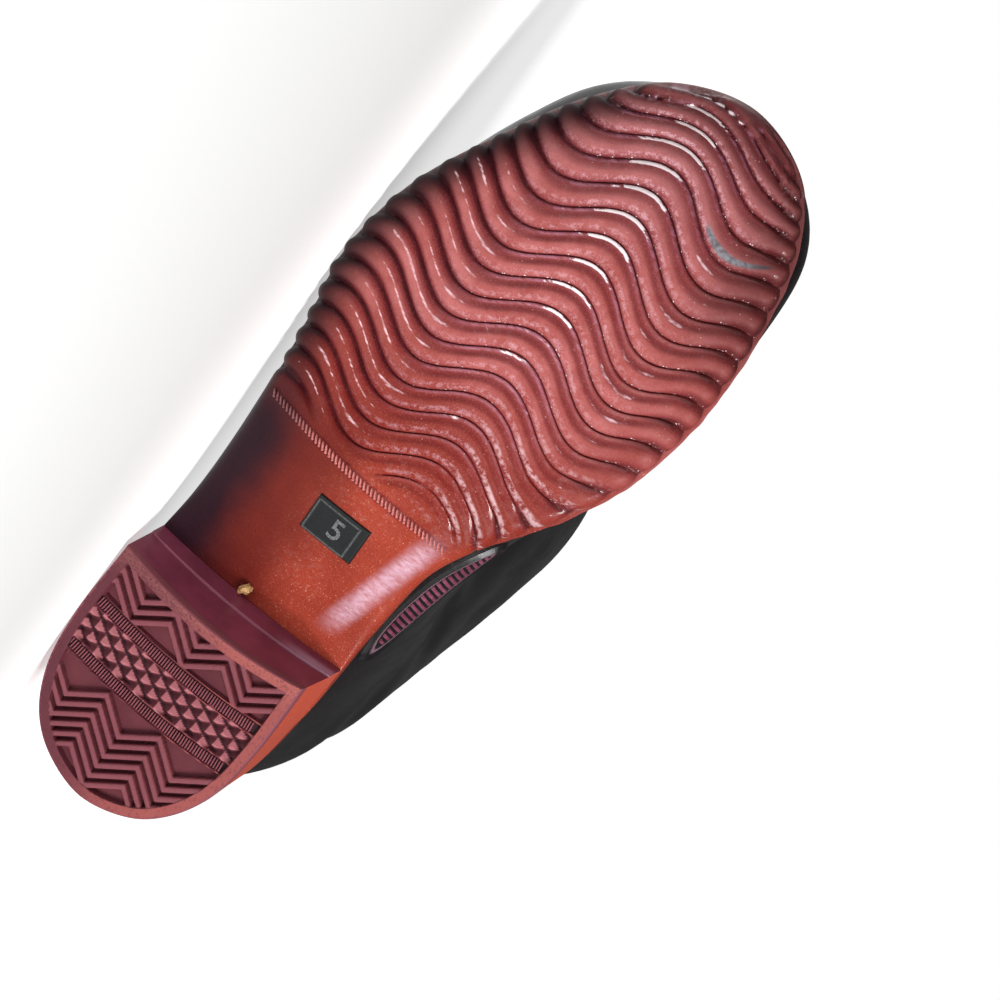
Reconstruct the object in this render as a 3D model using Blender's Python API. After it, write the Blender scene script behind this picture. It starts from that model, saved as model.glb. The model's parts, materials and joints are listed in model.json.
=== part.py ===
# Right rubber boot lying on its outer side, with its sole to the front.
#
# Sizes are in millimetres in the boot's own standing frame: x runs from the heel to the toe,
# y to the inner (medial) side and z up from the ground. The last step turns the finished
# pieces over, so that the outer side lies on the floor and the toe points to -X.

import math

import bmesh
import bpy
import numpy as np
from mathutils import Matrix, Vector
from mathutils.geometry import delaunay_2d_cdt

MM = 0.001
GAP = 0.3                    # clearance between pieces that meet

# Plan of the sole: its two ends, and its outer and inner edge at stations along the length.
HEEL_BACK = (0.0, -1.0)
TOE_TIP = (269.0, 30.0)
SOLE_PLAN = (
    # station, lateral edge, medial edge
    (7.0, -19.5, 17.5),
    (24.0, -30.5, 29.0),
    (50.0, -33.0, 33.0),
    (85.0, -31.0, 34.6),
    (112.0, -30.5, 37.6),
    (132.0, -30.9, 46.2),
    (152.0, -32.7, 57.6),
    (172.0, -35.0, 66.0),
    (198.0, -31.0, 70.0),
    (225.0, -19.0, 68.3),
    (247.0, -6.2, 62.6),
    (262.0, 8.5, 51.5),
)

# Side view of the sole: lowest line, thickness, how far the edges lift, and edge radius.
SOLE_PROFILE = (
    # station, bottom, thickness, crown, roll
    (0.0, 24.5, 8.0, 0.0, 0.4),
    (36.0, 22.95, 8.0, 0.0, 0.4),
    (72.0, 21.4, 8.5, 0.0, 0.5),
    (84.0, 19.2, 9.0, 2.2, 2.8),
    (100.0, 15.2, 9.5, 3.0, 4.5),
    (124.0, 8.8, 10.5, 2.4, 4.5),
    (145.0, 4.3, 11.5, 1.8, 4.5),
    (165.0, 1.2, 12.0, 1.4, 4.5),
    (185.0, 0.0, 12.0, 1.2, 4.5),
    (205.0, 0.8, 12.0, 1.2, 4.5),
    (230.0, 4.4, 11.5, 1.2, 4.5),
    (250.0, 9.2, 11.0, 1.0, 4.5),
    (269.0, 16.0, 10.0, 1.0, 4.5),
)

# Wave ribs of the forefoot.
RIB_PITCH = 7.9
RIB_DEPTH = 2.6
RIB_SHARPNESS = 0.55         # below 1 the ribs are round and their grooves narrow
RIB_LINES = (0.0, 0.24, 0.76)  # groove and shoulders, as shares of the pitch
RIB_START = 3.0              # run in which the grooves deepen, ahead of the plait
GROOVE_AT = 184.8            # one groove's mean station
RIB_NUMBERS = range(-9, 12)  # ribs counted from that groove
WAVE_SWING = 5.8
WAVE_PERIOD = 50.0
WAVE_CREST_Y = 23.5          # where the ribs swing furthest to the toe
WAVE_STEP = 5.2              # sampling across the boot
TREAD_ACROSS = (-36.4, 72.0)   # reach of the rib lines across the boot
RIM_SAMPLES_PER_RIB = 3
RIM_STEPS = (1.6, 5.0, 7.0)  # steps along the edge: least, in the forefoot, behind it

# Rounded lower edge of the sole, in shares of its radius, and how far the grooves cut into it.
TURN_INSET = 0.28
TURN_RISE = 0.3
TURN_NOTCH = 1.3
SIDE_NOTCH = 0.9
NOTCH_RISE = 0.3
WALL_SHARE = 0.6             # most of the wall's height that the rounding may take
EDGE_MARGIN = 1.6            # lines of the underside stop this far inside the rounding

# Plait line between shank and ribs: its stations at the two edges and in the middle.
PLAIT_LATERAL = (-29.0, 128.0)
PLAIT_MIDDLE = (0.0, 124.0)
PLAIT_MEDIAL = (37.0, 122.6)
PLAIT_WIDTH = 3.2
PLAIT_RISE = 0.8
PLAIT_SLOPE = 0.8            # plan width of its two slopes
PLAIT_CLEAR = 1.2            # the rib lines start this far ahead of it
PLAIT_ACROSS = (-28.0, 36.0)
PLAIT_POINTS = 13

# Lines that carry the curve of the shank and of the sole's upper face.
SHANK_STATIONS = (74.0, 80.0, 90.0, 101.0, 112.0)
SHANK_ACROSS = (-26.0, 31.0)
SHANK_POINTS = 9
TOP_STATIONS = (12.0, 262.0, 12.5)   # first, end and step
TOP_MARGIN = 8.0

# Heel block: plan of its tread, from the breast corner round the back.
HEEL_BREAST = 68.6
HEEL_TREAD_BACK = (-0.6, -2.0)
HEEL_TREAD_PLAN = (
    # station, lateral edge, medial edge
    (4.0, -17.0, 13.5),
    (12.0, -26.0, 22.0),
    (25.0, -32.0, 28.4),
    (42.0, -34.2, 30.6),
    (HEEL_BREAST, -33.4, 30.4),
)
HEEL_POINTS = 41             # points round the back of the heel
BREAST_POINTS = 13           # points across its breast, both corners counted
HEEL_LEVELS = (
    # height share, blend from tread to seat, breast corner, breast hollow
    (0.0, 0.0, 68.6, 3.8),
    (0.68, 0.68, 70.0, 2.6),
    (0.72, 0.72, 71.0, 2.0),
    (1.0, 1.0, 71.8, 1.4),
)
SEAT_LINE = ((0.0, 72.0), (24.5, 21.4))   # stations and heights of the sole over the heel
SEAT_ROWS = 60.0             # rows of SOLE_PLAN behind this station shape the seat
RIM_WIDTH = 3.3
TREAD_DEPTH = 2.4
WALL_SLOPE = 0.5             # plan width of a tread wall
TREAD_CLEAR = 0.5            # the pattern stops this far inside the rim's wall
ZIGZAG_PERIOD = 19.4
ZIGZAG_SWING = 7.6
BAR_PITCH = 3.75
BAR_TOP = 0.3                # tops of the bars, bands and pyramids, above the rim's plane
BAND_TOP = 0.7
PYRAMID_TOP = 0.5
BAR_PROFILE = (
    # offset from the bar's middle line, depth
    (-1.25, TREAD_DEPTH),
    (-0.6, BAR_TOP),
    (0.6, BAR_TOP),
    (1.25, TREAD_DEPTH),
)
FRONT_BARS = (50.5, -10.6, 3)   # station of the first bar, y of a toe-side tip, count
BACK_BARS = (2.6, -12.8, 6)
BAR_TURNS = range(-6, 14)    # quarter periods of a bar, counted from that tip
BANDS = (32.6, 48.0)         # stations of the two ladder bands
BAND_WIDTH = 3.2
BAND_CLEAR = 0.6             # the bars stop this far from a band
BAND_BOW = 2.2
BAND_BOW_AT = 30.0           # y where a band is bowed by that much
BAND_PROFILE = (
    # offset as a share of the width, depth
    (-0.5, TREAD_DEPTH),
    (-0.35, BAND_TOP),
    (0.35, BAND_TOP),
    (0.5, TREAD_DEPTH),
)
BAND_ACROSS = (-30.0, 27.0)
BAND_POINTS = 12
PYRAMID_LENGTH = 4.2
PYRAMID_WIDTH = 7.8
PYRAMID_ROWS = range(-8, 8)

# Upper: one row for each section, from the sole's edge (base) over the top (crown).
WALL = 2.4
UPPER_INSET = 1.2            # the sole stands proud of the upper by this much
UPPER_SEAT = 0.45            # clearance under the upper's edge, whose facets span a hollow curve
SIDE_POINTS = 13             # points from base to crown on each side
SOFTEN_ROUNDS = 3
SOFTEN_SHARE = 0.4
TOE_ROW_START = 241.0        # the row on the sole's edge runs round the toe from here
FOOT_SECTIONS = (
    # base x, crown x, crown z, crown y, lateral y, medial y, bow to the back
    (239.0, 267.6, 34.0, 30.0, -10.2, 65.4, 0.0),
    (236.0, 264.0, 44.0, 29.5, -12.8, 66.8, 0.0),
    (232.0, 255.5, 52.5, 29.0, -15.6, 67.8, 0.0),
    (226.0, 242.0, 58.0, 28.0, -19.4, 68.8, 0.0),
    (217.0, 225.5, 62.0, 26.5, -24.2, 69.0, 0.0),
    (205.0, 208.0, 66.0, 24.5, -29.2, 69.6, 0.0),
    (191.0, 191.0, 71.0, 22.0, -33.6, 69.2, 0.0),
    (176.0, 176.0, 78.0, 19.0, -35.8, 66.6, 0.0),
    (161.0, 163.0, 87.0, 16.0, -35.2, 62.0, 0.0),
    (146.0, 152.0, 97.5, 13.0, -34.0, 56.8, 0.0),
    (130.0, 143.0, 109.0, 10.5, -33.2, 51.2, 0.0),
    (112.0, 136.5, 121.0, 8.0, -33.0, 46.6, 0.0),
    (92.0, 131.5, 132.0, 6.0, -33.6, 42.8, 2.0),
    (70.0, 128.0, 142.0, 5.0, -34.6, 41.0, 5.0),
    (48.0, 126.0, 151.0, 4.5, -35.6, 41.0, 9.0),
    (28.0, 125.0, 159.0, 4.0, -36.6, 41.4, 14.0),
    (13.0, 124.3, 167.0, 3.5, -37.6, 42.2, 18.0),
    (5.0, 124.0, 175.0, 3.0, -38.4, 43.0, 20.0),
)
SHAFT_SECTIONS = (
    # back x, back z, crown x, crown z, crown y, lateral y, medial y, bow
    (1.2, 33.4, 124.0, 183.0, 3.0, -39.0, 43.2, 20.0),
    (-2.0, 52.0, 124.0, 193.0, 2.6, -40.2, 44.4, 18.0),
    (-3.6, 76.0, 124.4, 204.0, 2.2, -41.8, 45.8, 15.0),
    (-3.0, 105.0, 125.0, 216.0, 1.8, -43.6, 47.2, 11.0),
    (-1.0, 138.0, 126.0, 230.0, 1.4, -45.6, 48.6, 7.0),
    (0.0, 172.0, 127.0, 245.0, 1.0, -47.4, 49.8, 4.0),
    (-0.6, 206.0, 128.0, 259.0, 0.8, -48.8, 50.6, 2.0),
    (-2.4, 240.0, 128.8, 272.0, 0.8, -49.8, 51.2, 0.0),
    (-4.4, 270.0, 129.4, 284.0, 0.8, -50.2, 51.4, 0.0),
    (-5.2, 284.0, 129.6, 290.0, 0.8, -50.2, 51.4, 0.0),
)

INSOLE_INSET = 5.2
INSOLE_THICKNESS = 3.0
INSOLE_SAMPLING = 18         # of the fine plan's points, one in this many
INSOLE_STATIONS = (18.0, 258.0, 12.0)   # first, end and step
INSOLE_MARGIN = 9.0

LABEL_STATIONS = (100.0, 113.0)
LABEL_SIDES = (0.0, 18.0)
LABEL_THICKNESS = 0.5

PATCH_ROWS = (12.6, 1.55)    # middle and half length of the oval, in sections of the upper
PATCH_COLUMNS = (1.0, 0.7)   # middle and half height, in points up from the sole
PATCH_FALL = 0.15            # points that its middle line falls for each section towards the heel
PATCH_THICKNESS = 0.8
PATCH_SEAT = 0.48            # clearance over the upper, whose facets lie off the smooth face
PATCH_RINGS = (0.45, 0.8, 1.0)
PATCH_SPOKES = 24
PATCH_REACH = 0.2            # part of a section over which the outward direction is taken

OUTER_FACING = 0.7           # a resting face looks at least this much to the outer side
SHARP_ANGLE = 35.0           # degrees between faces that meet in a crisp edge

COLOURS = {
    # red, green, blue, roughness
    "outsole": (0.24, 0.045, 0.03, 0.32),
    "heel": (0.17, 0.045, 0.05, 0.6),
    "upper": (0.012, 0.011, 0.012, 0.25),
    "insole": (0.25, 0.2, 0.16, 0.9),
    "size_label": (0.02, 0.022, 0.022, 0.35),
    "arch_patch": (0.03, 0.018, 0.022, 0.4),
}


def hermite(knots, values, at):
    """Smooth curve through values at rising knots."""
    knots = np.asarray(knots, float)
    values = np.asarray(values, float)
    slopes = np.gradient(values, knots)
    at = np.clip(np.asarray(at, float), knots[0], knots[-1])
    i = np.clip(np.searchsorted(knots, at) - 1, 0, len(knots) - 2)
    width = knots[i + 1] - knots[i]
    t = (at - knots[i]) / width
    start = (1 + 2 * t) * (1 - t) ** 2 * values[i] + t * (1 - t) ** 2 * width * slopes[i]
    end = t * t * (3 - 2 * t) * values[i + 1] + t * t * (t - 1) * width * slopes[i + 1]
    return start + end


def curve_through(points, count, closed):
    """Smooth plan curve through points, closed or open, as count points."""
    pad = 3 if closed else 0
    ring = np.array(list(points[-pad:] if pad else []) + list(points) + list(points[:pad]), float)
    steps = np.sqrt(np.hypot(*np.diff(ring, axis=0).T))
    along = np.concatenate([[0.0], np.cumsum(steps)])
    last = along[pad + len(points)] if closed else along[-1]
    at = np.linspace(along[pad], last, count, endpoint=not closed)
    return np.stack([hermite(along, ring[:, k], at) for k in (0, 1)], 1)


def level_line(xs, ys):
    """Plan points from stations and sides, either of which may be one number."""
    return np.column_stack(np.broadcast_arrays(xs, ys))


def plan_points(back, stations, tip=None):
    """Points of a plan table, lateral side first, then back along the medial side."""
    lateral = [(x, low) for x, low, high in stations]
    medial = [(x, high) for x, low, high in reversed(stations)]
    if tip:
        return [back] + lateral + [tip] + medial
    return lateral[::-1] + [back] + medial[::-1]


def inset(loop, distance):
    """Closed loop moved inwards by a distance, which may change along it."""
    tangent = np.roll(loop, -1, axis=0) - np.roll(loop, 1, axis=0)
    tangent /= np.hypot(*tangent.T)[:, None]
    inward = np.stack([-tangent[:, 1], tangent[:, 0]], 1)
    return loop + inward * np.broadcast_to(distance, len(loop))[:, None]


def inside(points, loop):
    """True for each plan point that lies in the closed loop."""
    points = np.atleast_2d(points)
    x0, y0 = loop.T
    x1, y1 = np.roll(loop, -1, axis=0).T
    px, py = points[:, :1], points[:, 1:2]
    spans = (y0 > py) != (y1 > py)
    rise = np.where(y1 == y0, 1.0, y1 - y0)
    crossing = x0 + (py - y0) * (x1 - x0) / rise
    return np.sum(spans & (px < crossing), axis=1) % 2 == 1


def edges_at(loop, station):
    """Lateral and medial y of a closed plan loop at a station."""
    heel, toe = np.argmin(loop[:, 0]), np.argmax(loop[:, 0])
    turned = np.roll(loop, -heel, axis=0)
    tip = (toe - heel) % len(loop)
    lateral, medial = turned[:tip + 1], np.vstack([turned[tip:], turned[:1]])[::-1]
    return (np.interp(station, *lateral.T), np.interp(station, *medial.T))


FINE_PLAN = curve_through(plan_points(HEEL_BACK, SOLE_PLAN, TOE_TIP), 1600, closed=True)
UPPER_PLAN = inset(FINE_PLAN, UPPER_INSET)
OFF_PLAN = -999.0            # station of a point to be left out of a line


def profile(column, station):
    """One column of the sole's side view at a station."""
    rows = np.array(SOLE_PROFILE).T
    return hermite(rows[0], rows[column], station)


def sole_top(station):
    return profile(1, station) + profile(2, station)


def plait_station(y):
    ys, xs = np.array([PLAIT_LATERAL, PLAIT_MIDDLE, PLAIT_MEDIAL]).T
    return hermite(ys, xs, y)


def wave(y):
    return WAVE_SWING * np.cos(2 * np.pi * (y - WAVE_CREST_Y) / WAVE_PERIOD)


def rib_phase(x, y):
    return (x - GROOVE_AT - wave(y)) / RIB_PITCH


def groove_depth(x, y):
    """Depth below the tops of the ribs, nought behind the plait line."""
    ridge = np.abs(np.sin(np.pi * rib_phase(x, y))) ** RIB_SHARPNESS
    start = np.clip((x - plait_station(y) - PLAIT_WIDTH / 2) / RIB_START, 0, 1)
    return RIB_DEPTH * (1 - ridge) * start


def sole_bottom(x, y):
    """Height of the sole's underside, without the plait."""
    lateral, medial = edges_at(FINE_PLAN, x)
    share = (y - (lateral + medial) / 2) / np.maximum((medial - lateral) / 2, 1.0)
    return profile(1, x) + profile(3, x) * np.clip(share, -1, 1) ** 2 + groove_depth(x, y)


def new_object(name, verts, faces):
    """Mesh object from points in millimetres, faces pointing out, with its own material."""
    mesh = bpy.data.meshes.new(name)
    mesh.from_pydata([tuple(v) for v in np.asarray(verts, float)], [], faces)
    body = bmesh.new()
    body.from_mesh(mesh)
    bmesh.ops.recalc_face_normals(body, faces=body.faces)
    body.to_mesh(mesh)
    body.free()
    colour = COLOURS[name]
    material = bpy.data.materials.new(name)
    material.use_nodes = True
    shader = material.node_tree.nodes["Principled BSDF"]
    shader.inputs["Base Color"].default_value = (*colour[:3], 1.0)
    shader.inputs["Roughness"].default_value = colour[3]
    mesh.materials.append(material)
    piece = bpy.data.objects.new(name, mesh)
    bpy.context.collection.objects.link(piece)
    return piece


def strip(first, second, count, closed=True):
    """Quads between two rows of points that start at two indices."""
    last = count if closed else count - 1
    return [(first + i, first + (i + 1) % count, second + (i + 1) % count, second + i)
            for i in range(last)]


def fill(boundary, lines):
    """Triangles over a closed plan loop that keep to the given lines of points.

    Returns the plan points, the boundary's first and in order, and the triangles."""
    points = [tuple(p) for p in boundary]
    count = len(points)
    edges = [(i, (i + 1) % count) for i in range(count)]
    for line in lines:
        for run in line:
            edges += [(len(points) + i, len(points) + i + 1) for i in range(len(run) - 1)]
            points += [tuple(p) for p in run]
    found = delaunay_2d_cdt([Vector(p) for p in points], edges, [], 1, 1e-5)
    source = [ids[0] for ids in found[3]]
    middles = np.array([np.mean([found[0][v] for v in face], axis=0) for face in found[2]])
    keep = inside(middles, np.asarray(boundary))
    return np.array(points), [tuple(source[v] for v in face) for face, k in zip(found[2], keep) if k]


def runs_inside(line, loop):
    """The stretches of a line of plan points that lie in a loop."""
    runs, run = [], []
    for point, kept in zip(line, inside(line, loop)):
        if kept:
            run.append(point)
        elif run:
            runs.append(run)
            run = []
    return runs + ([run] if run else [])


def rim_samples():
    """Points round the sole's edge, at each rib's groove and shoulders where it is ribbed."""
    least_step, fore_step, rear_step = RIM_STEPS
    phase = np.floor(rib_phase(*FINE_PLAN.T) * RIM_SAMPLES_PER_RIB)
    ribbed = FINE_PLAN[:, 0] > plait_station(FINE_PLAN[:, 1])
    kept = [0]
    for i in range(1, len(FINE_PLAN)):
        run = np.hypot(*(FINE_PLAN[i] - FINE_PLAN[kept[-1]]))
        crossing = ribbed[i] and phase[i] != phase[i - 1] and run > least_step
        if crossing or run > (fore_step if ribbed[i] else rear_step):
            kept.append(i)
    return kept


def underside_lines():
    """Lines along the ribs, the plait and the shank, clear of the rounded edge."""
    margin = inset(FINE_PLAN, profile(4, FINE_PLAN[:, 0]) + EDGE_MARGIN)
    lines = []
    across = np.arange(*TREAD_ACROSS, WAVE_STEP)
    for rib in RIB_NUMBERS:
        for share in RIB_LINES:
            x = GROOVE_AT + RIB_PITCH * (rib + share) + wave(across)
            ahead = x > plait_station(across) + PLAIT_WIDTH / 2 + PLAIT_CLEAR
            lines.append(level_line(np.where(ahead, x, OFF_PLAN), across))
    across = np.linspace(*PLAIT_ACROSS, PLAIT_POINTS)
    half = PLAIT_WIDTH / 2
    for offset in (-half, PLAIT_SLOPE - half, half - PLAIT_SLOPE, half):
        lines.append(level_line(plait_station(across) + offset, across))
    across = np.linspace(*SHANK_ACROSS, SHANK_POINTS)
    for station in SHANK_STATIONS:
        lines.append(level_line(station, across))
    return [runs_inside(line, margin) for line in lines]


def top_lines():
    """Short lines across the sole's upper face that carry its curve."""
    lines = []
    for station in np.arange(*TOP_STATIONS):
        lateral, medial = edges_at(FINE_PLAN, station)
        lines.append([level_line(station, np.linspace(lateral + TOP_MARGIN, medial - TOP_MARGIN, 3))])
    return lines


def make_outsole():
    kept = rim_samples()
    edge = FINE_PLAN[kept]
    count = len(edge)
    radius = profile(4, FINE_PLAN[:, 0])
    roll = radius[kept]
    notch = groove_depth(*edge.T) / RIB_DEPTH
    tread = inset(FINE_PLAN, radius)[kept]
    turn = inset(inset(FINE_PLAN, radius * TURN_INSET)[kept], notch * TURN_NOTCH)
    side = inset(edge, notch * SIDE_NOTCH)
    low = sole_bottom(*tread.T)
    high = sole_top(edge[:, 0])
    rows = [np.column_stack([tread, low]),
            np.column_stack([turn, low + roll * TURN_RISE + notch * NOTCH_RISE]),
            np.column_stack([side, low + np.minimum(roll, (high - low) * WALL_SHARE)]),
            np.column_stack([edge, high])]

    plan, under = fill(tread, underside_lines())
    extra = plan[count:]
    plaited = np.abs(extra[:, 0] - plait_station(extra[:, 1])) < (PLAIT_WIDTH - PLAIT_SLOPE) / 2
    depth = sole_bottom(*extra.T) - PLAIT_RISE * plaited
    verts = np.vstack(rows + [np.column_stack([extra, depth])])
    last = (len(rows) - 1) * count
    faces = [tuple(i if i < count else i + last for i in face) for face in under]
    for row in range(len(rows) - 1):
        faces += strip(row * count, (row + 1) * count, count)

    plan, over = fill(edge, top_lines())
    extra = plan[count:]
    first = len(verts) - count
    verts = np.vstack([verts, np.column_stack([extra, sole_top(extra[:, 0])])])
    faces += [tuple(i + (last if i < count else first) for i in face) for face in over]
    return new_object("outsole", verts, faces)


def heel_loop(blend, corner, hollow, shrink=0.0):
    """Plan of the heel block at one level: round the back, then across the hollow breast."""
    tread = curve_through(plan_points(HEEL_TREAD_BACK, HEEL_TREAD_PLAN), HEEL_POINTS, closed=False)
    seat_plan = [row for row in SOLE_PLAN if row[0] < SEAT_ROWS]
    seat_plan.append((corner, *edges_at(FINE_PLAN, corner)))
    seat = curve_through(plan_points(HEEL_BACK, seat_plan), HEEL_POINTS, closed=False)
    back = tread * (1 - blend) + seat * blend
    apex = back[:, 0].min()
    back[:, 0] = apex + (back[:, 0] - apex) * (corner - apex) / (back[0, 0] - apex)
    across = np.linspace(1, 0, BREAST_POINTS)[1:-1]
    breast = level_line(corner - hollow * (1 - (2 * across - 1) ** 2),
                        back[0, 1] + (back[-1, 1] - back[0, 1]) * across)
    loop = np.vstack([back, breast])[::-1]
    return inset(loop, shrink) if shrink else loop


def zigzag(first, tip_y, y):
    """Station of a zigzag bar's middle line at y, its toe-side tips at tip_y."""
    turn = np.abs(((y - tip_y) / ZIGZAG_PERIOD + 0.5) % 1.0 - 0.5) * 2
    return first + ZIGZAG_SWING * (1 - turn)


def band_bow(y):
    return BAND_BOW * (y / BAND_BOW_AT) ** 2


def heel_pattern():
    """Lines of the heel's tread pattern, each with its depth and which points are kept."""
    pattern = []
    for (first, tip_y, bars), band, side in zip((BACK_BARS, FRONT_BARS), BANDS, (-1, 1)):
        y = tip_y + ZIGZAG_PERIOD / 4 * np.array(BAR_TURNS)
        limit = band + band_bow(y) + side * (BAND_WIDTH / 2 + BAND_CLEAR)
        for bar in range(bars):
            for offset, depth in BAR_PROFILE:
                x = zigzag(first + bar * BAR_PITCH + offset, tip_y, y)
                pattern.append((level_line(x, y), depth, (x - limit) * side > 0))
    y = np.linspace(*BAND_ACROSS, BAND_POINTS)
    for station in BANDS:
        for share, depth in BAND_PROFILE:
            pattern.append((level_line(station + share * BAND_WIDTH + band_bow(y), y), depth, True))
    for row in PYRAMID_ROWS:
        y = row * PYRAMID_WIDTH / 2
        for column in (-1, 0, 1):
            shift = (column + row % 2 / 2 - 0.25) * PYRAMID_LENGTH
            x = sum(BANDS) / 2 + shift + band_bow(y)
            pattern.append((np.array([[x, y]]), PYRAMID_TOP, True))
            pattern.append((np.array([[x, y + PYRAMID_WIDTH / 2]]), TREAD_DEPTH, True))
    return pattern


def make_heel():
    levels = []
    for share, blend, corner, hollow in HEEL_LEVELS:
        loop = heel_loop(blend, corner, hollow)
        top = np.interp(loop[:, 0], *SEAT_LINE) - GAP
        levels.append(np.column_stack([loop, top * share]))
    outline = HEEL_LEVELS[0][1:]
    edge = heel_loop(*outline)
    count = len(edge)
    rim = heel_loop(*outline, RIM_WIDTH)
    foot = heel_loop(*outline, RIM_WIDTH + WALL_SLOPE)
    clear = heel_loop(*outline, RIM_WIDTH + WALL_SLOPE + TREAD_CLEAR)
    lines = [[rim], [foot]]
    depths = [0.0] * count + [TREAD_DEPTH] * count
    for line, depth, kept in heel_pattern():
        line = np.where(np.broadcast_to(kept, len(line))[:, None], line, OFF_PLAN)
        runs = runs_inside(line, clear)
        lines.append(runs)
        depths += [depth] * sum(len(run) for run in runs)

    plan, under = fill(edge, lines)
    verts = np.vstack(levels + [np.column_stack([plan[count:], depths])])
    last = (len(levels) - 1) * count
    faces = [tuple(i if i < count else i + last for i in face) for face in under]
    for level in range(len(levels) - 1):
        faces += strip(level * count, (level + 1) * count, count)
    faces.append(tuple(range(last, last + count)))
    return new_object("heel", verts, faces)


def half_section(base_y, wide_y, crown_y):
    """Height shares and y from base to crown on one side, part of an ellipse."""
    base, wide = abs(base_y - crown_y), max(abs(wide_y - crown_y), abs(base_y - crown_y))
    start = math.asin(min(base / wide, 1.0))
    turn = np.linspace(start, math.pi, SIDE_POINTS)
    share = (math.cos(start) - np.cos(turn)) / (math.cos(start) + 1)
    return share, crown_y + math.copysign(1, wide_y - crown_y) * wide * np.sin(turn)


def soften(rows):
    """Evens the upper's grid out, with its edge on the sole and its collar kept."""
    closed = len(FOOT_SECTIONS) + 2
    for _ in range(SOFTEN_ROUNDS):
        beside = (rows[:-2] + rows[2:]) / 2
        rows[1:-1, 1:-1] += SOFTEN_SHARE * (beside - rows[1:-1])[:, 1:-1]
        for seam in (0, -1):
            rows[closed:-1, seam] += SOFTEN_SHARE * (beside[closed - 1:] - rows[closed:-1])[:, seam]
    return rows


def upper_rows():
    """Grid of the upper's outer face: a row of points for each section, lateral base first."""
    rows = []
    share = np.sin(np.linspace(0, math.pi / 2, SIDE_POINTS))
    tip = UPPER_PLAN[:, 0].max()
    x = TOE_ROW_START + (tip - TOE_ROW_START) * share
    z = sole_top(x) + UPPER_SEAT
    lateral, medial = edges_at(UPPER_PLAN, x)
    rows.append(np.vstack([np.column_stack([x, lateral, z]), np.column_stack([x, medial, z])[-2::-1]]))
    sections = []
    for base_x, crown_x, crown_z, crown_y, lateral_y, medial_y, bow in FOOT_SECTIONS:
        ends = edges_at(UPPER_PLAN, base_x)
        base = (base_x, sole_top(base_x) + UPPER_SEAT)
        sections.append((base, (crown_x, crown_z), bow, crown_y, ends, (lateral_y, medial_y)))
    for back_x, back_z, crown_x, crown_z, crown_y, lateral_y, medial_y, bow in SHAFT_SECTIONS:
        ends = (crown_y, crown_y)
        sections.append(((back_x, back_z), (crown_x, crown_z), bow, crown_y, ends, (lateral_y, medial_y)))
    for base, crown, bow, crown_y, ends, wide in sections:
        run, rise = crown[0] - base[0], crown[1] - base[1]
        length = math.hypot(run, rise)
        sides = []
        for end, reach in zip(ends, wide):
            share, y = half_section(end, reach, crown_y)
            bend = bow * np.sin(np.pi * share) / length
            sides.append(np.column_stack([base[0] + run * share - rise * bend, y,
                                          base[1] + rise * share + run * bend]))
        rows.append(np.vstack([sides[0], sides[1][-2::-1]]))
    return soften(np.array(rows))


def make_upper(rows):
    count = rows.shape[1]
    faces = []
    for row in range(len(rows) - 1):
        faces += strip(row * count, (row + 1) * count, count, closed=False)
    piece = new_object("upper", rows.reshape(-1, 3), faces)
    skin = bmesh.new()
    skin.from_mesh(piece.data)
    bmesh.ops.remove_doubles(skin, verts=skin.verts, dist=0.01)
    bmesh.ops.recalc_face_normals(skin, faces=skin.faces)
    skin.to_mesh(piece.data)
    skin.free()
    wall = piece.modifiers.new("wall", "SOLIDIFY")
    wall.thickness = WALL
    wall.offset = -1.0
    wall.use_even_offset = True
    return piece


def make_insole():
    edge = inset(FINE_PLAN, INSOLE_INSET)[::INSOLE_SAMPLING]
    count = len(edge)
    lines = []
    for station in np.arange(*INSOLE_STATIONS):
        lateral, medial = edges_at(edge, station)
        lines.append([level_line(station, [lateral + INSOLE_MARGIN, medial - INSOLE_MARGIN])])
    plan, cover = fill(edge, lines)
    height = sole_top(plan[:, 0]) + GAP
    verts = np.vstack([np.column_stack([plan, height]),
                       np.column_stack([plan, height + INSOLE_THICKNESS])])
    faces = cover + [tuple(i + len(plan) for i in face[::-1]) for face in cover]
    faces += strip(0, len(plan), count)
    return new_object("insole", verts, faces)


def make_size_label():
    """Thin plate that follows the shank."""
    xs = np.linspace(*LABEL_STATIONS, 5)
    ys = np.linspace(*LABEL_SIDES, 6)
    x, y = (grid.ravel() for grid in np.meshgrid(xs, ys, indexing="ij"))
    shank = sole_bottom(x, y)
    layers = [np.column_stack([x, y, shank - drop]) for drop in (GAP, GAP + LABEL_THICKNESS)]
    count = len(ys)
    faces = []
    for i in range(len(xs) - 1):
        for j in range(count - 1):
            quad = (i * count + j, i * count + j + 1, (i + 1) * count + j + 1, (i + 1) * count + j)
            faces.append(quad)
            faces.append(tuple(k + len(x) for k in quad))
    ring = [i * count for i in range(len(xs))] + [(len(xs) - 1) * count + j for j in range(1, count)]
    ring += [i * count + count - 1 for i in range(len(xs) - 2, -1, -1)] + list(range(count - 2, 0, -1))
    for a, b in zip(ring, ring[1:] + ring[:1]):
        faces.append((a, b, b + len(x), a + len(x)))
    return new_object("size_label", np.vstack(layers), faces)


def surface_point(rows, row, column):
    """Point of the upper's outer face between its grid points, and its outward direction."""
    def at(r, c):
        i, j = int(r), int(c)
        a, b = r - i, c - j
        return ((1 - a) * (1 - b) * rows[i, j] + a * (1 - b) * rows[i + 1, j]
                + (1 - a) * b * rows[i, j + 1] + a * b * rows[i + 1, j + 1])
    step = PATCH_REACH
    outward = np.cross(at(row + step, column) - at(row - step, column),
                       at(row, column + step) - at(row, column - step))
    outward *= np.sign(outward[1])
    return at(row, column), outward / np.linalg.norm(outward)


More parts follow.
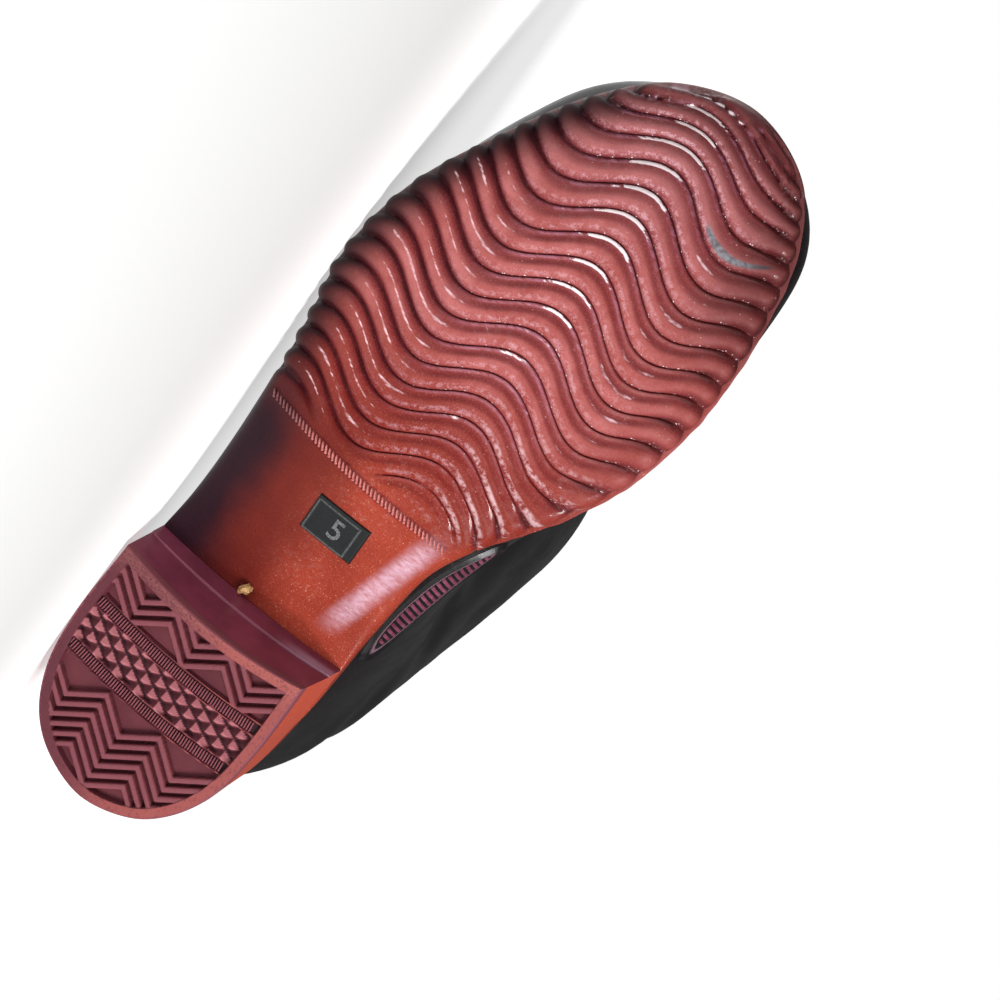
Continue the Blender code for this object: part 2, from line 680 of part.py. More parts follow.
def make_arch_patch(rows):
    """Oval patch on the inner side of the arch, a plate cut from the upper's own face."""
    spokes = PATCH_SPOKES
    last = rows.shape[1] - 1
    spots = [(PATCH_ROWS[0], PATCH_COLUMNS[0])]
    for ring in PATCH_RINGS:
        for spoke in range(spokes):
            turn = 2 * math.pi * spoke / spokes
            along = PATCH_ROWS[1] * ring * math.cos(turn)
            height = PATCH_COLUMNS[1] * ring * math.sin(turn) - PATCH_FALL * along
            spots.append((PATCH_ROWS[0] + along, PATCH_COLUMNS[0] + height))
    found = [surface_point(rows, row, last - column) for row, column in spots]
    under = np.array([point + PATCH_SEAT * out for point, out in found])
    over = np.array([point + (PATCH_SEAT + PATCH_THICKNESS) * out for point, out in found])
    faces = [(0, 1 + i, 1 + (i + 1) % spokes) for i in range(spokes)]
    for ring in range(len(PATCH_RINGS) - 1):
        faces += strip(1 + ring * spokes, 1 + (ring + 1) * spokes, spokes)
    back = [tuple(i + len(under) for i in face) for face in faces]
    outer = 1 + (len(PATCH_RINGS) - 1) * spokes
    wall = strip(outer, outer + len(under), spokes)
    return new_object("arch_patch", np.vstack([under, over]), faces + back + wall)


def lie_down(pieces):
    """Turn the standing boot onto its outer side, its lowest point on the floor."""
    graph = bpy.context.evaluated_depsgraph_get()
    hull = bmesh.new()
    weight, centre = 0.0, Vector()
    for piece in pieces:
        shape = piece.evaluated_get(graph).to_mesh()
        shape.calc_loop_triangles()
        corners = [v.co.copy() for v in shape.vertices]
        for triangle in shape.loop_triangles:
            a, b, c = (corners[i] for i in triangle.vertices)
            volume = a.dot(b.cross(c)) / 6
            weight += volume
            centre += volume * (a + b + c) / 4
        for corner in corners:
            hull.verts.new(corner)
        piece.evaluated_get(graph).to_mesh_clear()
    centre /= weight
    bmesh.ops.convex_hull(hull, input=hull.verts)
    resting = None
    for face in hull.faces:
        face.normal_update()
        if face.normal.y > -OUTER_FACING:
            continue
        foot = centre + face.normal * (face.verts[0].co - centre).dot(face.normal)
        turns = [(b.co - a.co).cross(foot - a.co).dot(face.normal)
                 for a, b in zip(face.verts, face.verts[1:] + face.verts[:1])]
        if min(turns) >= 0:
            resting = face
    up = -resting.normal
    floor = -resting.verts[0].co.dot(resting.normal)
    right = (Vector((-1, 0, 0)) + up * up.x).normalized()
    turn = Matrix((right, up.cross(right), up))
    lain = [turn @ v.co for v in hull.verts]
    hull.free()
    middle = [(min(p[k] for p in lain) + max(p[k] for p in lain)) / 2 for k in (0, 1)]
    place = Matrix.Translation(Vector((-middle[0], -middle[1], -floor)))
    whole = Matrix.Scale(MM, 4) @ place @ turn.to_4x4()
    for piece in pieces:
        piece.data.transform(whole)
        for modifier in piece.modifiers:
            modifier.thickness *= MM
        piece.data.shade_smooth()
        piece.data.set_sharp_from_angle(angle=math.radians(SHARP_ANGLE))


def main():
    for old in list(bpy.data.objects):
        bpy.data.objects.remove(old)
    rows = upper_rows()
    pieces = [make_outsole(), make_heel(), make_upper(rows), make_insole(), make_size_label(),
              make_arch_patch(rows)]
    lie_down(pieces)


main()
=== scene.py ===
# Looks of the right rubber boot, which lies on its outer side with the sole to the front.
# Pieces are shaped standing, in millimetres: x from heel to toe, y to the inner side, z up.
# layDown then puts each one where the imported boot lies.
import json
import math

import bmesh
import bpy
import numpy as np
from mathutils import Matrix, Vector, noise
from mathutils.bvhtree import BVHTree


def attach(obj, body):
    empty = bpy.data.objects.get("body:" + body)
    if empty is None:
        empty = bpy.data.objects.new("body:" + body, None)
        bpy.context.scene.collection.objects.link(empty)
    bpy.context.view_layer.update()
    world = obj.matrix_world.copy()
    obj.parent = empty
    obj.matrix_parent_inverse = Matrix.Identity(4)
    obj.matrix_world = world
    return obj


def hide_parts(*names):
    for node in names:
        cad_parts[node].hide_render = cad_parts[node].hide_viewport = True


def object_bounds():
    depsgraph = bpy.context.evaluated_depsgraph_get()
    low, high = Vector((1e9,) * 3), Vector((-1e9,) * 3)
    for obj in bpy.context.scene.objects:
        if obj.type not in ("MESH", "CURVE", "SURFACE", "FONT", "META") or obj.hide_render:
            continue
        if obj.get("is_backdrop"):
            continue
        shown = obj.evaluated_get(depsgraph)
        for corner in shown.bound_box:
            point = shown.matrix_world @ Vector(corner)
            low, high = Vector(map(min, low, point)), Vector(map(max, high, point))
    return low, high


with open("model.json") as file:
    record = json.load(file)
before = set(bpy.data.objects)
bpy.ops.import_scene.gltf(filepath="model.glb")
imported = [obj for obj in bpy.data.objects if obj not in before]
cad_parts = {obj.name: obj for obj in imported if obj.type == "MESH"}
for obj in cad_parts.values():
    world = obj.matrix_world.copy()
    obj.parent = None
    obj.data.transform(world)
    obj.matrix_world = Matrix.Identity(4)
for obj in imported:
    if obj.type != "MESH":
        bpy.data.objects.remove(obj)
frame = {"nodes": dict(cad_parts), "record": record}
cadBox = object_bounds()
scene = bpy.context.scene
millimetre = 0.001

# the heel's tread mount tells where the standing boot's own axes ended up
heelMount = frame["record"]["mounts"][0]
mountSpot = Vector((1.0, -2.0, 0.0))   # the mount's point on the standing boot
upAxis = -Vector(heelMount["axis"]).normalized()
toeAxis = upAxis.cross(Vector((0, 1, 0))).normalized()
innerAxis = upAxis.cross(toeAxis)
turnDown = Matrix((toeAxis, innerAxis, upAxis)).transposed()
layDown = (Matrix.Translation(heelMount["pos_m"]) @ turnDown.to_4x4()
           @ Matrix.Scale(millimetre, 4) @ Matrix.Translation(-mountSpot))
standUp = layDown.inverted()


# curves and sheets

def smoothCurve(knots, values, at):
    knots, values = np.asarray(knots, float), np.asarray(values, float)
    slopes = np.gradient(values, knots)
    at = np.clip(np.asarray(at, float), knots[0], knots[-1])
    i = np.clip(np.searchsorted(knots, at) - 1, 0, len(knots) - 2)
    width = knots[i + 1] - knots[i]
    t = (at - knots[i]) / width
    start = (1 + 2 * t) * (1 - t) ** 2 * values[i] + t * (1 - t) ** 2 * width * slopes[i]
    return start + t * t * (3 - 2 * t) * values[i + 1] + t * t * (t - 1) * width * slopes[i + 1]


def planCurve(points, count, closed):
    pad = 3 if closed else 0
    ring = np.array(list(points[-pad:] if pad else []) + list(points) + list(points[:pad]), float)
    along = np.concatenate([[0.0], np.cumsum(np.sqrt(np.hypot(*np.diff(ring, axis=0).T)))])
    last = along[pad + len(points)] if closed else along[-1]
    at = np.linspace(along[pad], last, count, endpoint=not closed)
    return np.stack([smoothCurve(along, ring[:, k], at) for k in (0, 1)], 1)


def rampUp(value, low, high):
    t = np.clip((np.asarray(value, float) - low) / (high - low), 0, 1)
    return t * t * (3 - 2 * t)


def lumps(x, y, size, seed):
    # soft seeded noise at each point, between about -1 and 1
    spots = np.stack(np.broadcast_arrays(x, y, 0.0), -1)
    flat = [noise.noise(Vector(p) / size + Vector((seed, 0, 0))) for p in spots.reshape(-1, 3)]
    return np.array(flat).reshape(spots.shape[:-1])


def foldSheet(shape, places, **marks):
    # a grid operator's sheet, folded to a table of places; each mark goes to a vertex layer of its name
    rows, columns = places.shape[:2]
    held = shape.verts.layers.float
    layers = [(held.get(name) or held.new(name), name) for name in marks]
    made = bmesh.ops.create_grid(shape, x_segments=columns - 1, y_segments=rows - 1, size=1.0)
    for index, vert in enumerate(made["verts"]):
        row, column = divmod(index, columns)
        vert.co = places[row, column]
        for layer, name in layers:
            vert[layer] = marks[name][row, column]


def rimEdges(shape):
    return [edge for edge in shape.edges if edge.is_boundary]


def bowed(t):
    # 0 at both ends of a row and 1 in its middle
    return 1 - (2 * t - 1) ** 2


def bell(t):
    return math.exp(-t * t)


def addObject(name, data):
    made = bpy.data.objects.new(name, data)
    scene.collection.objects.link(made)
    return made


def meshFrom(name, shape):
    mesh = bpy.data.meshes.new(name)
    shape.to_mesh(mesh)
    shape.free()
    return mesh


def settledMesh(carrier):
    # a carrier's mesh with its modifiers or letters worked out; the carrier itself is removed
    ready = carrier.evaluated_get(bpy.context.evaluated_depsgraph_get())
    mesh = bpy.data.meshes.new_from_object(ready)
    bpy.data.objects.remove(carrier)
    return mesh


def finishPiece(name, shape, material, replaced=None, sharp=50.0, weld=0.002):
    if weld:
        bmesh.ops.remove_doubles(shape, verts=shape.verts, dist=weld)
        bmesh.ops.dissolve_degenerate(shape, edges=shape.edges, dist=weld / 2)
        bmesh.ops.recalc_face_normals(shape, faces=shape.faces)
    bmesh.ops.transform(shape, matrix=layDown, verts=shape.verts)
    mesh = meshFrom(name, shape)
    mesh.materials.append(material)
    mesh.shade_smooth()
    mesh.set_sharp_from_angle(angle=math.radians(sharp))
    piece = addObject(name, mesh)
    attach(piece, "root")
    if replaced:
        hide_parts(replaced)
    print("made", name, len(mesh.polygons), "faces")


# shader sums

class Wire:
    # a socket of a material; sums on it add Math nodes
    def __init__(self, tree, socket=None):
        self.tree = tree
        self.socket = socket

    def node(self, kind, settings, sockets, output=0):
        made = self.tree.nodes.new("ShaderNode" + kind)
        for key, value in settings.items():
            setattr(made, key, value)
        for key, value in sockets.items():
            if isinstance(value, Wire):
                self.tree.links.new(value.socket, made.inputs[key])
            else:
                made.inputs[key].default_value = value
        return Wire(self.tree, made.outputs[output])

    def sum(self, operation, *values):
        return self.node("Math", {"operation": operation}, dict(enumerate(values)))

    def __add__(self, other):
        return self.sum("ADD", self, other)

    def __radd__(self, other):
        return self.sum("ADD", other, self)

    def __sub__(self, other):
        return self.sum("SUBTRACT", self, other)

    def __rsub__(self, other):
        return self.sum("SUBTRACT", other, self)

    def __mul__(self, other):
        return self.sum("MULTIPLY", self, other)

    def __rmul__(self, other):
        return self.sum("MULTIPLY", other, self)

    def __abs__(self):
        return self.sum("ABSOLUTE", self)

    def ramp(self, low, high):
        # soft step from 0 at low to 1 at high, which may lie the other way round
        return self.node("MapRange", {"interpolation_type": "SMOOTHSTEP"},
                         {"Value": self, "From Min": low, "From Max": high})

    def either(self, other):
        return self.sum("MAXIMUM", self, other)

    def axis(self, name):
        return self.node("SeparateXYZ", {}, {"Vector": self}, name)

    def mark(self, name):
        # a mark that foldSheet left on the piece
        return self.node("Attribute", {"attribute_name": name}, {}, "Fac")

    def facing(self, name):
        # how far the surface of the lying boot faces along one axis
        return self.node("NewGeometry", {}, {}, "Normal").axis(name)

    def blend(self, first, second):
        # two colours mixed by this wire
        return self.node("Mix", {"data_type": "RGBA"}, {0: self, 6: first, 7: second}, 2)

    def paint(self, colour, share):
        # this wire's colour with another laid over a share of it
        return share.blend(self, colour)

    def noise(self, size, detail=2.0, rough=0.5, stretch=(1, 1, 1), seed=0.0):
        # cloudy noise whose lumps are about that many millimetres across
        moved = self.node("VectorMath", {"operation": "MULTIPLY"}, {0: self, 1: stretch})
        return self.node("TexNoise", {"noise_dimensions": "4D"},
                         {"Vector": moved, "W": seed, "Scale": 1 / size,
                          "Detail": detail, "Roughness": rough})

    def cells(self, size):
        # distance to the nearest of scattered points, which are about that many millimetres apart
        return self.node("TexVoronoi", {}, {"Vector": self, "Scale": 1 / size}, "Distance")

    def bump(self, depth, strength=1.0, under=None):
        # this height, times depth in millimetres, raised over the normal below it
        sockets = {"Height": self, "Distance": depth * millimetre, "Strength": strength}
        if under:
            sockets["Normal"] = under
        return self.node("Bump", {}, sockets)


def newFinish(name):
    material = bpy.data.materials.new(name)
    material.use_nodes = True
    tree = material.node_tree
    lying = Wire(tree).node("TexCoord", {}, {}, "Object")
    # back to the standing boot's millimetres
    standing = lying.node("Mapping", {"vector_type": "POINT"},
                          {"Vector": lying, "Location": standUp.translation,
                           "Rotation": turnDown.transposed().to_euler(), "Scale": (1 / millimetre,) * 3})
    return material, tree.nodes["Principled BSDF"], standing


def setFinish(shader, constants, wires):
    for key, value in constants.items():
        shader.inputs[key].default_value = value
    for key, wire in wires.items():
        wire.tree.links.new(wire.socket, shader.inputs[key])


def shade(red, green, blue):
    # a colour given as it shows on a screen, 0 to 255
    parts = [c / 255 for c in (red, green, blue)]
    return (*[c / 12.92 if c <= 0.04045 else ((c + 0.055) / 1.055) ** 2.4 for c in parts], 1.0)


# outsole

sole = {
    "heelBack": (0.0, -1.0),
    "toeTip": (269.0, 30.0),
    "plan": (   # station, outer edge, inner edge
        (7, -19.5, 17.5), (24, -30.5, 29), (50, -33, 33), (85, -31, 34.6), (112, -30.5, 37.6),
        (132, -30.9, 46.2), (152, -32.7, 57.6), (172, -35, 66), (198, -31, 70), (225, -19, 68.3),
        (247, -6.2, 62.6), (262, 8.5, 51.5)),
    "profile": (   # station, bottom, thickness, crown, roll
        (0, 24.5, 8, 0, 0.4), (36, 22.95, 8, 0, 0.4), (72, 21.4, 8.5, 0, 0.5), (84, 19.2, 9, 2.2, 2.8),
        (100, 15.2, 9.5, 3, 4.5), (124, 8.8, 10.5, 2.4, 4.5), (145, 4.3, 11.5, 1.8, 4.5),
        (165, 1.2, 12, 1.4, 4.5), (185, 0, 12, 1.2, 4.5), (205, 0.8, 12, 1.2, 4.5),
        (230, 4.4, 11.5, 1.2, 4.5), (250, 9.2, 11, 1, 4.5), (269, 16, 10, 1, 4.5)),
    "ribPitch": 7.9,
    "ribShape": (   # place in the pitch, depth, painted shade: flat top, wall to the toe, ledge, thin crease
        (0.0, 0.45, 0.5), (0.03, 0.14, 0.15), (0.08, 0.02, 0.0), (0.3, 0.0, 0.0), (0.45, 0.05, 0.1),
        (0.52, 0.2, 0.35), (0.6, 0.62, 0.6), (0.68, 0.98, 0.66), (0.755, 1.1, 0.5), (0.82, 1.0, 0.25),
        (0.88, 0.9, 0.2), (0.935, 0.96, 0.4), (0.962, 1.5, 1.0), (1.0, 0.45, 0.5)),
    "ledge": (0.77, 0.83, 0.92, 0.95),   # places where the ledge starts, is full, ends and is gone
    "lip": (0.02, 0.05),                 # middle and half width of the top's edge over the crease
    "crown": (0.2, 0.16),                # the same of the top's side that faces the heel
    "shine": (0.57, 0.08),               # the same of the light line along a round roll
    "markFlat": 0.3,                     # share of those half widths over which the mark is full
    "edgeDark": (15, 2),                 # off the outer edge, where its painted shade starts and is full
    "deepEdge": (10, 2),                 # off an edge, where the painted shade in the grooves starts to deepen and is deepest
    "deepInner": (180, 205),             # stations between which the inner edge takes that up
    "toeCrowd": (244.0, 0.02),           # station from which the ribs crowd, and how fast
    "tipFades": (269.2, 266.8),
    "rollDepth": 2.4,
    "rollSharpness": 0.75,
    "rollDark": 1.4,
    "rollFades": (-10, 10),              # towards the outer side each rib turns into one round roll
    "rollInner": (3, 15),                # and near the inner edge, by the distance from it
    "rollShare": (0.25, 0.7, 205, 242),  # share of roll elsewhere and at the toe, stations between them
    "grooveAt": 184.8,
    "waveSwing": 5.8,
    "wavePeriod": 50.0,
    "waveCrest": 23.5,
    "waveFades": (116, 136, 238, 266),   # stations where the rows take up the wave and drop it
    "hook": (4.5, 13.0),                 # how far the ribs' inner ends turn back, how near the edge
    "plait": ((-29, 128), (0, 124), (37, 122.6)),   # y, station
    "plaitWidth": 3.2,
    "plaitRise": 0.3,
    # painted shade on the sole between the plait's strokes
    "plaitDark": 0.8,
    "ribStart": 6.0,
    "wallFade": 0.72,
    "notches": (0.9, 0.5),               # how far the grooves cut into the outer and the inner edge
    "edgeMost": 0.6,                     # the rounded edge takes at most this share of the wall
    "wobble": (0.4, 17.0),               # how far the ribs waver along the boot, and over what length
    "dents": ((6.0, 0.24), (2.4, 0.15)),   # size across and height of soft unevenness
    "dentFades": (122, 130),
    "highlightStreak": (82, 23.7, 0.254),         # painted highlight streak: a station, its y there and its slant
    "smear": (242.6, 46.5),              # silvery smear: station and y of its middle
    # the mesh: points of the plan, columns below and on top, rows of the rounded edge and the wall
    "loopPoints": 4000,
    "across": 108,
    "topColumns": 7,
    "wallRows": (6, 9),
    "backRows": (8, 16),                 # station where the close rows at the back end, and their count
    "shankRows": (118, 100),
    "ribsEachWay": 9,                    # pitches of rows before and after the groove's station
    "ribRows": (0.0, 0.02, 0.045, 0.08, 0.16, 0.26, 0.36, 0.45, 0.52, 0.565, 0.605, 0.645, 0.68,
                0.72, 0.78, 0.84, 0.89, 0.925, 0.945, 0.962, 0.982),   # places of the rows in the pitch
    "toeRows": (236, 262, 0.26),         # first and last station, spacing
    "tipRows": 30,
    "edgeRounds": 30,                    # steps in which the rows' ends settle, then the rows between
    "rowRounds": 14,
}
soleLoop = planCurve([sole["heelBack"]] + [(x, low) for x, low, high in sole["plan"]] + [sole["toeTip"]]
                     + [(x, high) for x, low, high in reversed(sole["plan"])], sole["loopPoints"], True)


def inward(loop):
    tangent = np.roll(loop, -1, axis=0) - np.roll(loop, 1, axis=0)
    tangent /= np.hypot(*tangent.T)[:, None]
    return np.stack([-tangent[:, 1], tangent[:, 0]], 1)


def soleSides():
    # points and inward directions of the outer and the inner edge, heel first
    back, front = np.argmin(soleLoop[:, 0]), np.argmax(soleLoop[:, 0])
    both = np.roll(np.hstack([soleLoop, inward(soleLoop)]), -back, axis=0)
    tip = (front - back) % len(soleLoop)
    return both[:tip + 1], np.vstack([both[tip:], both[:1]])[::-1]


outerSide, innerSide = soleSides()


def edgeAt(side, station):
    return np.stack([np.interp(station, side[:, 0], side[:, k]) for k in range(4)], -1)


def soleColumn(column, station):
    rows = np.array(sole["profile"], float).T
    return smoothCurve(rows[0], rows[column], station)


def wave(y):
    return sole["waveSwing"] * np.cos(2 * np.pi * (y - sole["waveCrest"]) / sole["wavePeriod"])


def sway(x, y):
    # the wave, with the ribs' inner ends hooked back to the heel
    back, reach = sole["hook"]
    return wave(y) - back * np.clip(1 - (edgeAt(innerSide, x)[..., 1] - y) / reach, 0, 1) ** 2


def plaitStation(y):
    ys, xs = np.array(sole["plait"], float).T
    return smoothCurve(ys, xs, y)


def soleBase(x, y):
    # underside without its ribs
    low, high = edgeAt(outerSide, x)[..., 1], edgeAt(innerSide, x)[..., 1]
    share = (y - (low + high) / 2) / np.maximum((high - low) / 2, 1.0)
    return soleColumn(1, x) + soleColumn(3, x) * np.clip(share, -1, 1) ** 2


def wobble(x, y):
    swing, size = sole["wobble"]
    return swing * lumps(x, y, size=size, seed=3.0)


def ribs(x, y):
    # depth below the ribs' tops, how much painted shade the spot takes, its share of ledge, lip,
    # crown and shine, and how near it is to the outer edge
    crowdFrom, crowding = sole["toeCrowd"]
    along = x + crowding * np.maximum(x - crowdFrom, 0) ** 2
    place = ((along - sole["grooveAt"] - sway(x, y) - wobble(x, y)) / sole["ribPitch"]) % 1.0
    knots, depths, darks = np.array(sole["ribShape"], float).T
    crease = knots[np.argmax(darks)]
    roll = 1 - np.abs(np.sin(np.pi * (place - crease))) ** sole["rollSharpness"]
    offOuter, offInner = y - edgeAt(outerSide, x)[..., 1], edgeAt(innerSide, x)[..., 1] - y
    common, most, begin, end = sole["rollShare"]
    ledged = rampUp(y, *sole["rollFades"]) * (1 - common - (most - common) * rampUp(x, begin, end))
    ledged = ledged * rampUp(offInner, *sole["rollInner"])
    depth = ledged * smoothCurve(knots, depths, place) + (1 - ledged) * sole["rollDepth"] * roll
    dark = ledged * np.clip(smoothCurve(knots, darks, place), 0, 1)
    dark = dark + (1 - ledged) * np.clip(sole["rollDark"] * roll, 0, 1)
    nearInner = rampUp(offInner, *sole["deepEdge"]) * rampUp(x, *sole["deepInner"])
    nearEdge = np.maximum(rampUp(offOuter, *sole["deepEdge"]), nearInner)
    dark = np.clip(dark * (1 + nearEdge), 0, 1)
    start = rampUp(x - plaitStation(y) - sole["plaitWidth"] / 2, 0, sole["ribStart"])
    begin, full, end, gone = sole["ledge"]
    ledge = rampUp(place, begin, full) * rampUp(place, gone, end) * rampUp(y, *sole["rollFades"])
    lip, crown, shine = (rampUp(np.abs((place - middle + 0.5) % 1.0 - 0.5), half, half * sole["markFlat"])
                         for middle, half in (sole["lip"], sole["crown"], sole["shine"]))
    marks = [depth, dark, ledge, lip, crown, shine, rampUp(offOuter, *sole["edgeDark"])]
    return np.stack(marks) * start * rampUp(x, *sole["tipFades"])


# the first mark is painted shade on the sole and heel, and a raised line on the label and patch
soleMarks = ("trough", "ledge", "lip", "crown", "shine", "outer")


def soleRows():
    pitch, reach = sole["ribPitch"], sole["ribsEachWay"]
    (backEnd, backCount), (shankEnd, shankCount) = sole["backRows"], sole["shankRows"]
    toeStart, tipStart, spacing = sole["toeRows"]
    back = backEnd * np.linspace(0, 1, backCount)[:-1] ** 2
    shank = np.linspace(backEnd, shankEnd, shankCount)[:-1]
    first = sole["grooveAt"] - reach * pitch
    ribbed = (first + pitch * np.arange(2 * reach)[:, None] + pitch * np.array(sole["ribRows"])).ravel()
    ribbed = ribbed[(ribbed > shankEnd) & (ribbed < toeStart)]
    toe = np.arange(toeStart, tipStart, spacing)
    quarter = np.sin(np.linspace(0, math.pi / 2, sole["tipRows"]))   # closer and closer to the tip
    tip = tipStart + (sole["toeTip"][0] - tipStart) * quarter
    return np.concatenate([back, shank, ribbed, toe, tip])


def soleEdge(side, row, share):
    # where the rows meet one edge, once they meet the tread's edge in step with the ribs
    x = row.copy()
    for _ in range(sole["edgeRounds"]):
        edge = edgeAt(side, x)
        footX, footY = (edge[:, :2] + edge[:, 2:] * soleColumn(4, x)[:, None]).T
        wanted = row + share * (sway(footX, footY) + x - footX)
        x = (x + np.clip(wanted, 0, sole["toeTip"][0])) / 2
    return edgeAt(side, x)


def soleUnder(tread, share):
    # places and marks of the underside, from the outer to the inner tread edge
    t = np.linspace(0, 1, sole["across"] + 1)[None, :]
    y = tread[0][:, 1:] * (1 - t) + tread[1][:, 1:] * t
    straight = [p[:, 0] - share * sway(*p.T) for p in tread]
    straight = straight[0][:, None] * (1 - t) + straight[1][:, None] * t
    x = straight
    for _ in range(sole["rowRounds"]):
        x = straight + share[:, None] * sway(x, y)
    x = x + share[:, None] * wobble(x, y) * np.sin(np.pi * t)
    depth, *marks = ribs(x, y)
    dents = sum(height * lumps(x, y, size=size, seed=9.0) for size, height in sole["dents"])
    onPlait = np.abs(x - plaitStation(y)) < sole["plaitWidth"] / 2
    marks[0] = np.maximum(marks[0], sole["plaitDark"] * onPlait)
    dents = dents * rampUp(x, *sole["dentFades"])
    z = soleBase(x, y) + depth + dents - sole["plaitRise"] * onPlait
    return np.stack([x, y, z], -1), np.stack(marks)


def soleWall(edge, roll, foot, notch):
    # places and marks of a rounded edge and its wall; grooves run over the edge and fade up the wall
    turns, uprights = sole["wallRows"]
    low = soleBase(foot[:, 0], foot[:, 1])
    high = soleColumn(1, edge[:, 0]) + soleColumn(2, edge[:, 0])
    rise = np.minimum(roll, (high - low) * sole["edgeMost"])
    places, marks = [], []
    for step in range(1, turns + uprights + 1):
        angle = min(step / turns, 1.0) * math.pi / 2
        up = max(step - turns, 0) / uprights
        spot = edge[:, :2] + edge[:, 2:] * (roll * (1 - math.sin(angle)))[:, None]
        depth, *dark = ribs(spot[:, 0], spot[:, 1]) * (1 - rampUp(up, 0.0, sole["wallFade"]))
        spot = spot + edge[:, 2:] * (depth * math.sin(angle) * notch)[:, None]
        height = low + rise * (1 - math.cos(angle)) + depth * math.cos(angle)
        height = height + (high - low - rise) * up
        places.append(np.column_stack([spot, height]))
        marks.append(np.stack(dark))
    return np.stack(places, 1), np.stack(marks, -1)


def makeSole(material):
    row = soleRows()
    takeUp, full, drop, gone = sole["waveFades"]
    share = rampUp(row, takeUp, full) * rampUp(row, gone, drop)
    edges = [soleEdge(side, row, share) for side in (outerSide, innerSide)]
    rolls = [soleColumn(4, edge[:, 0]) for edge in edges]
    tread = [edge[:, :2] + edge[:, 2:] * roll[:, None] for edge, roll in zip(edges, rolls)]
    under, marks = soleUnder(tread, share)
    (outer, outerMarks), (inner, innerMarks) = map(soleWall, edges, rolls, tread, sole["notches"])
    t = np.linspace(1, 0, sole["topColumns"])[1:-1][None, :, None]
    top = outer[:, -1][:, None] * (1 - t) + inner[:, -1][:, None] * t
    ring = np.concatenate([under, inner, top, outer[:, ::-1], under[:, :1]], 1)
    marks = np.concatenate([marks, innerMarks, np.zeros((len(marks), *top.shape[:2])),
                            outerMarks[..., ::-1], marks[..., :1]], -1)
    shape = bmesh.new()
    foldSheet(shape, ring, **dict(zip(soleMarks, marks)))
    finishPiece("sole_skin", shape, material, "outsole", sharp=62.0)


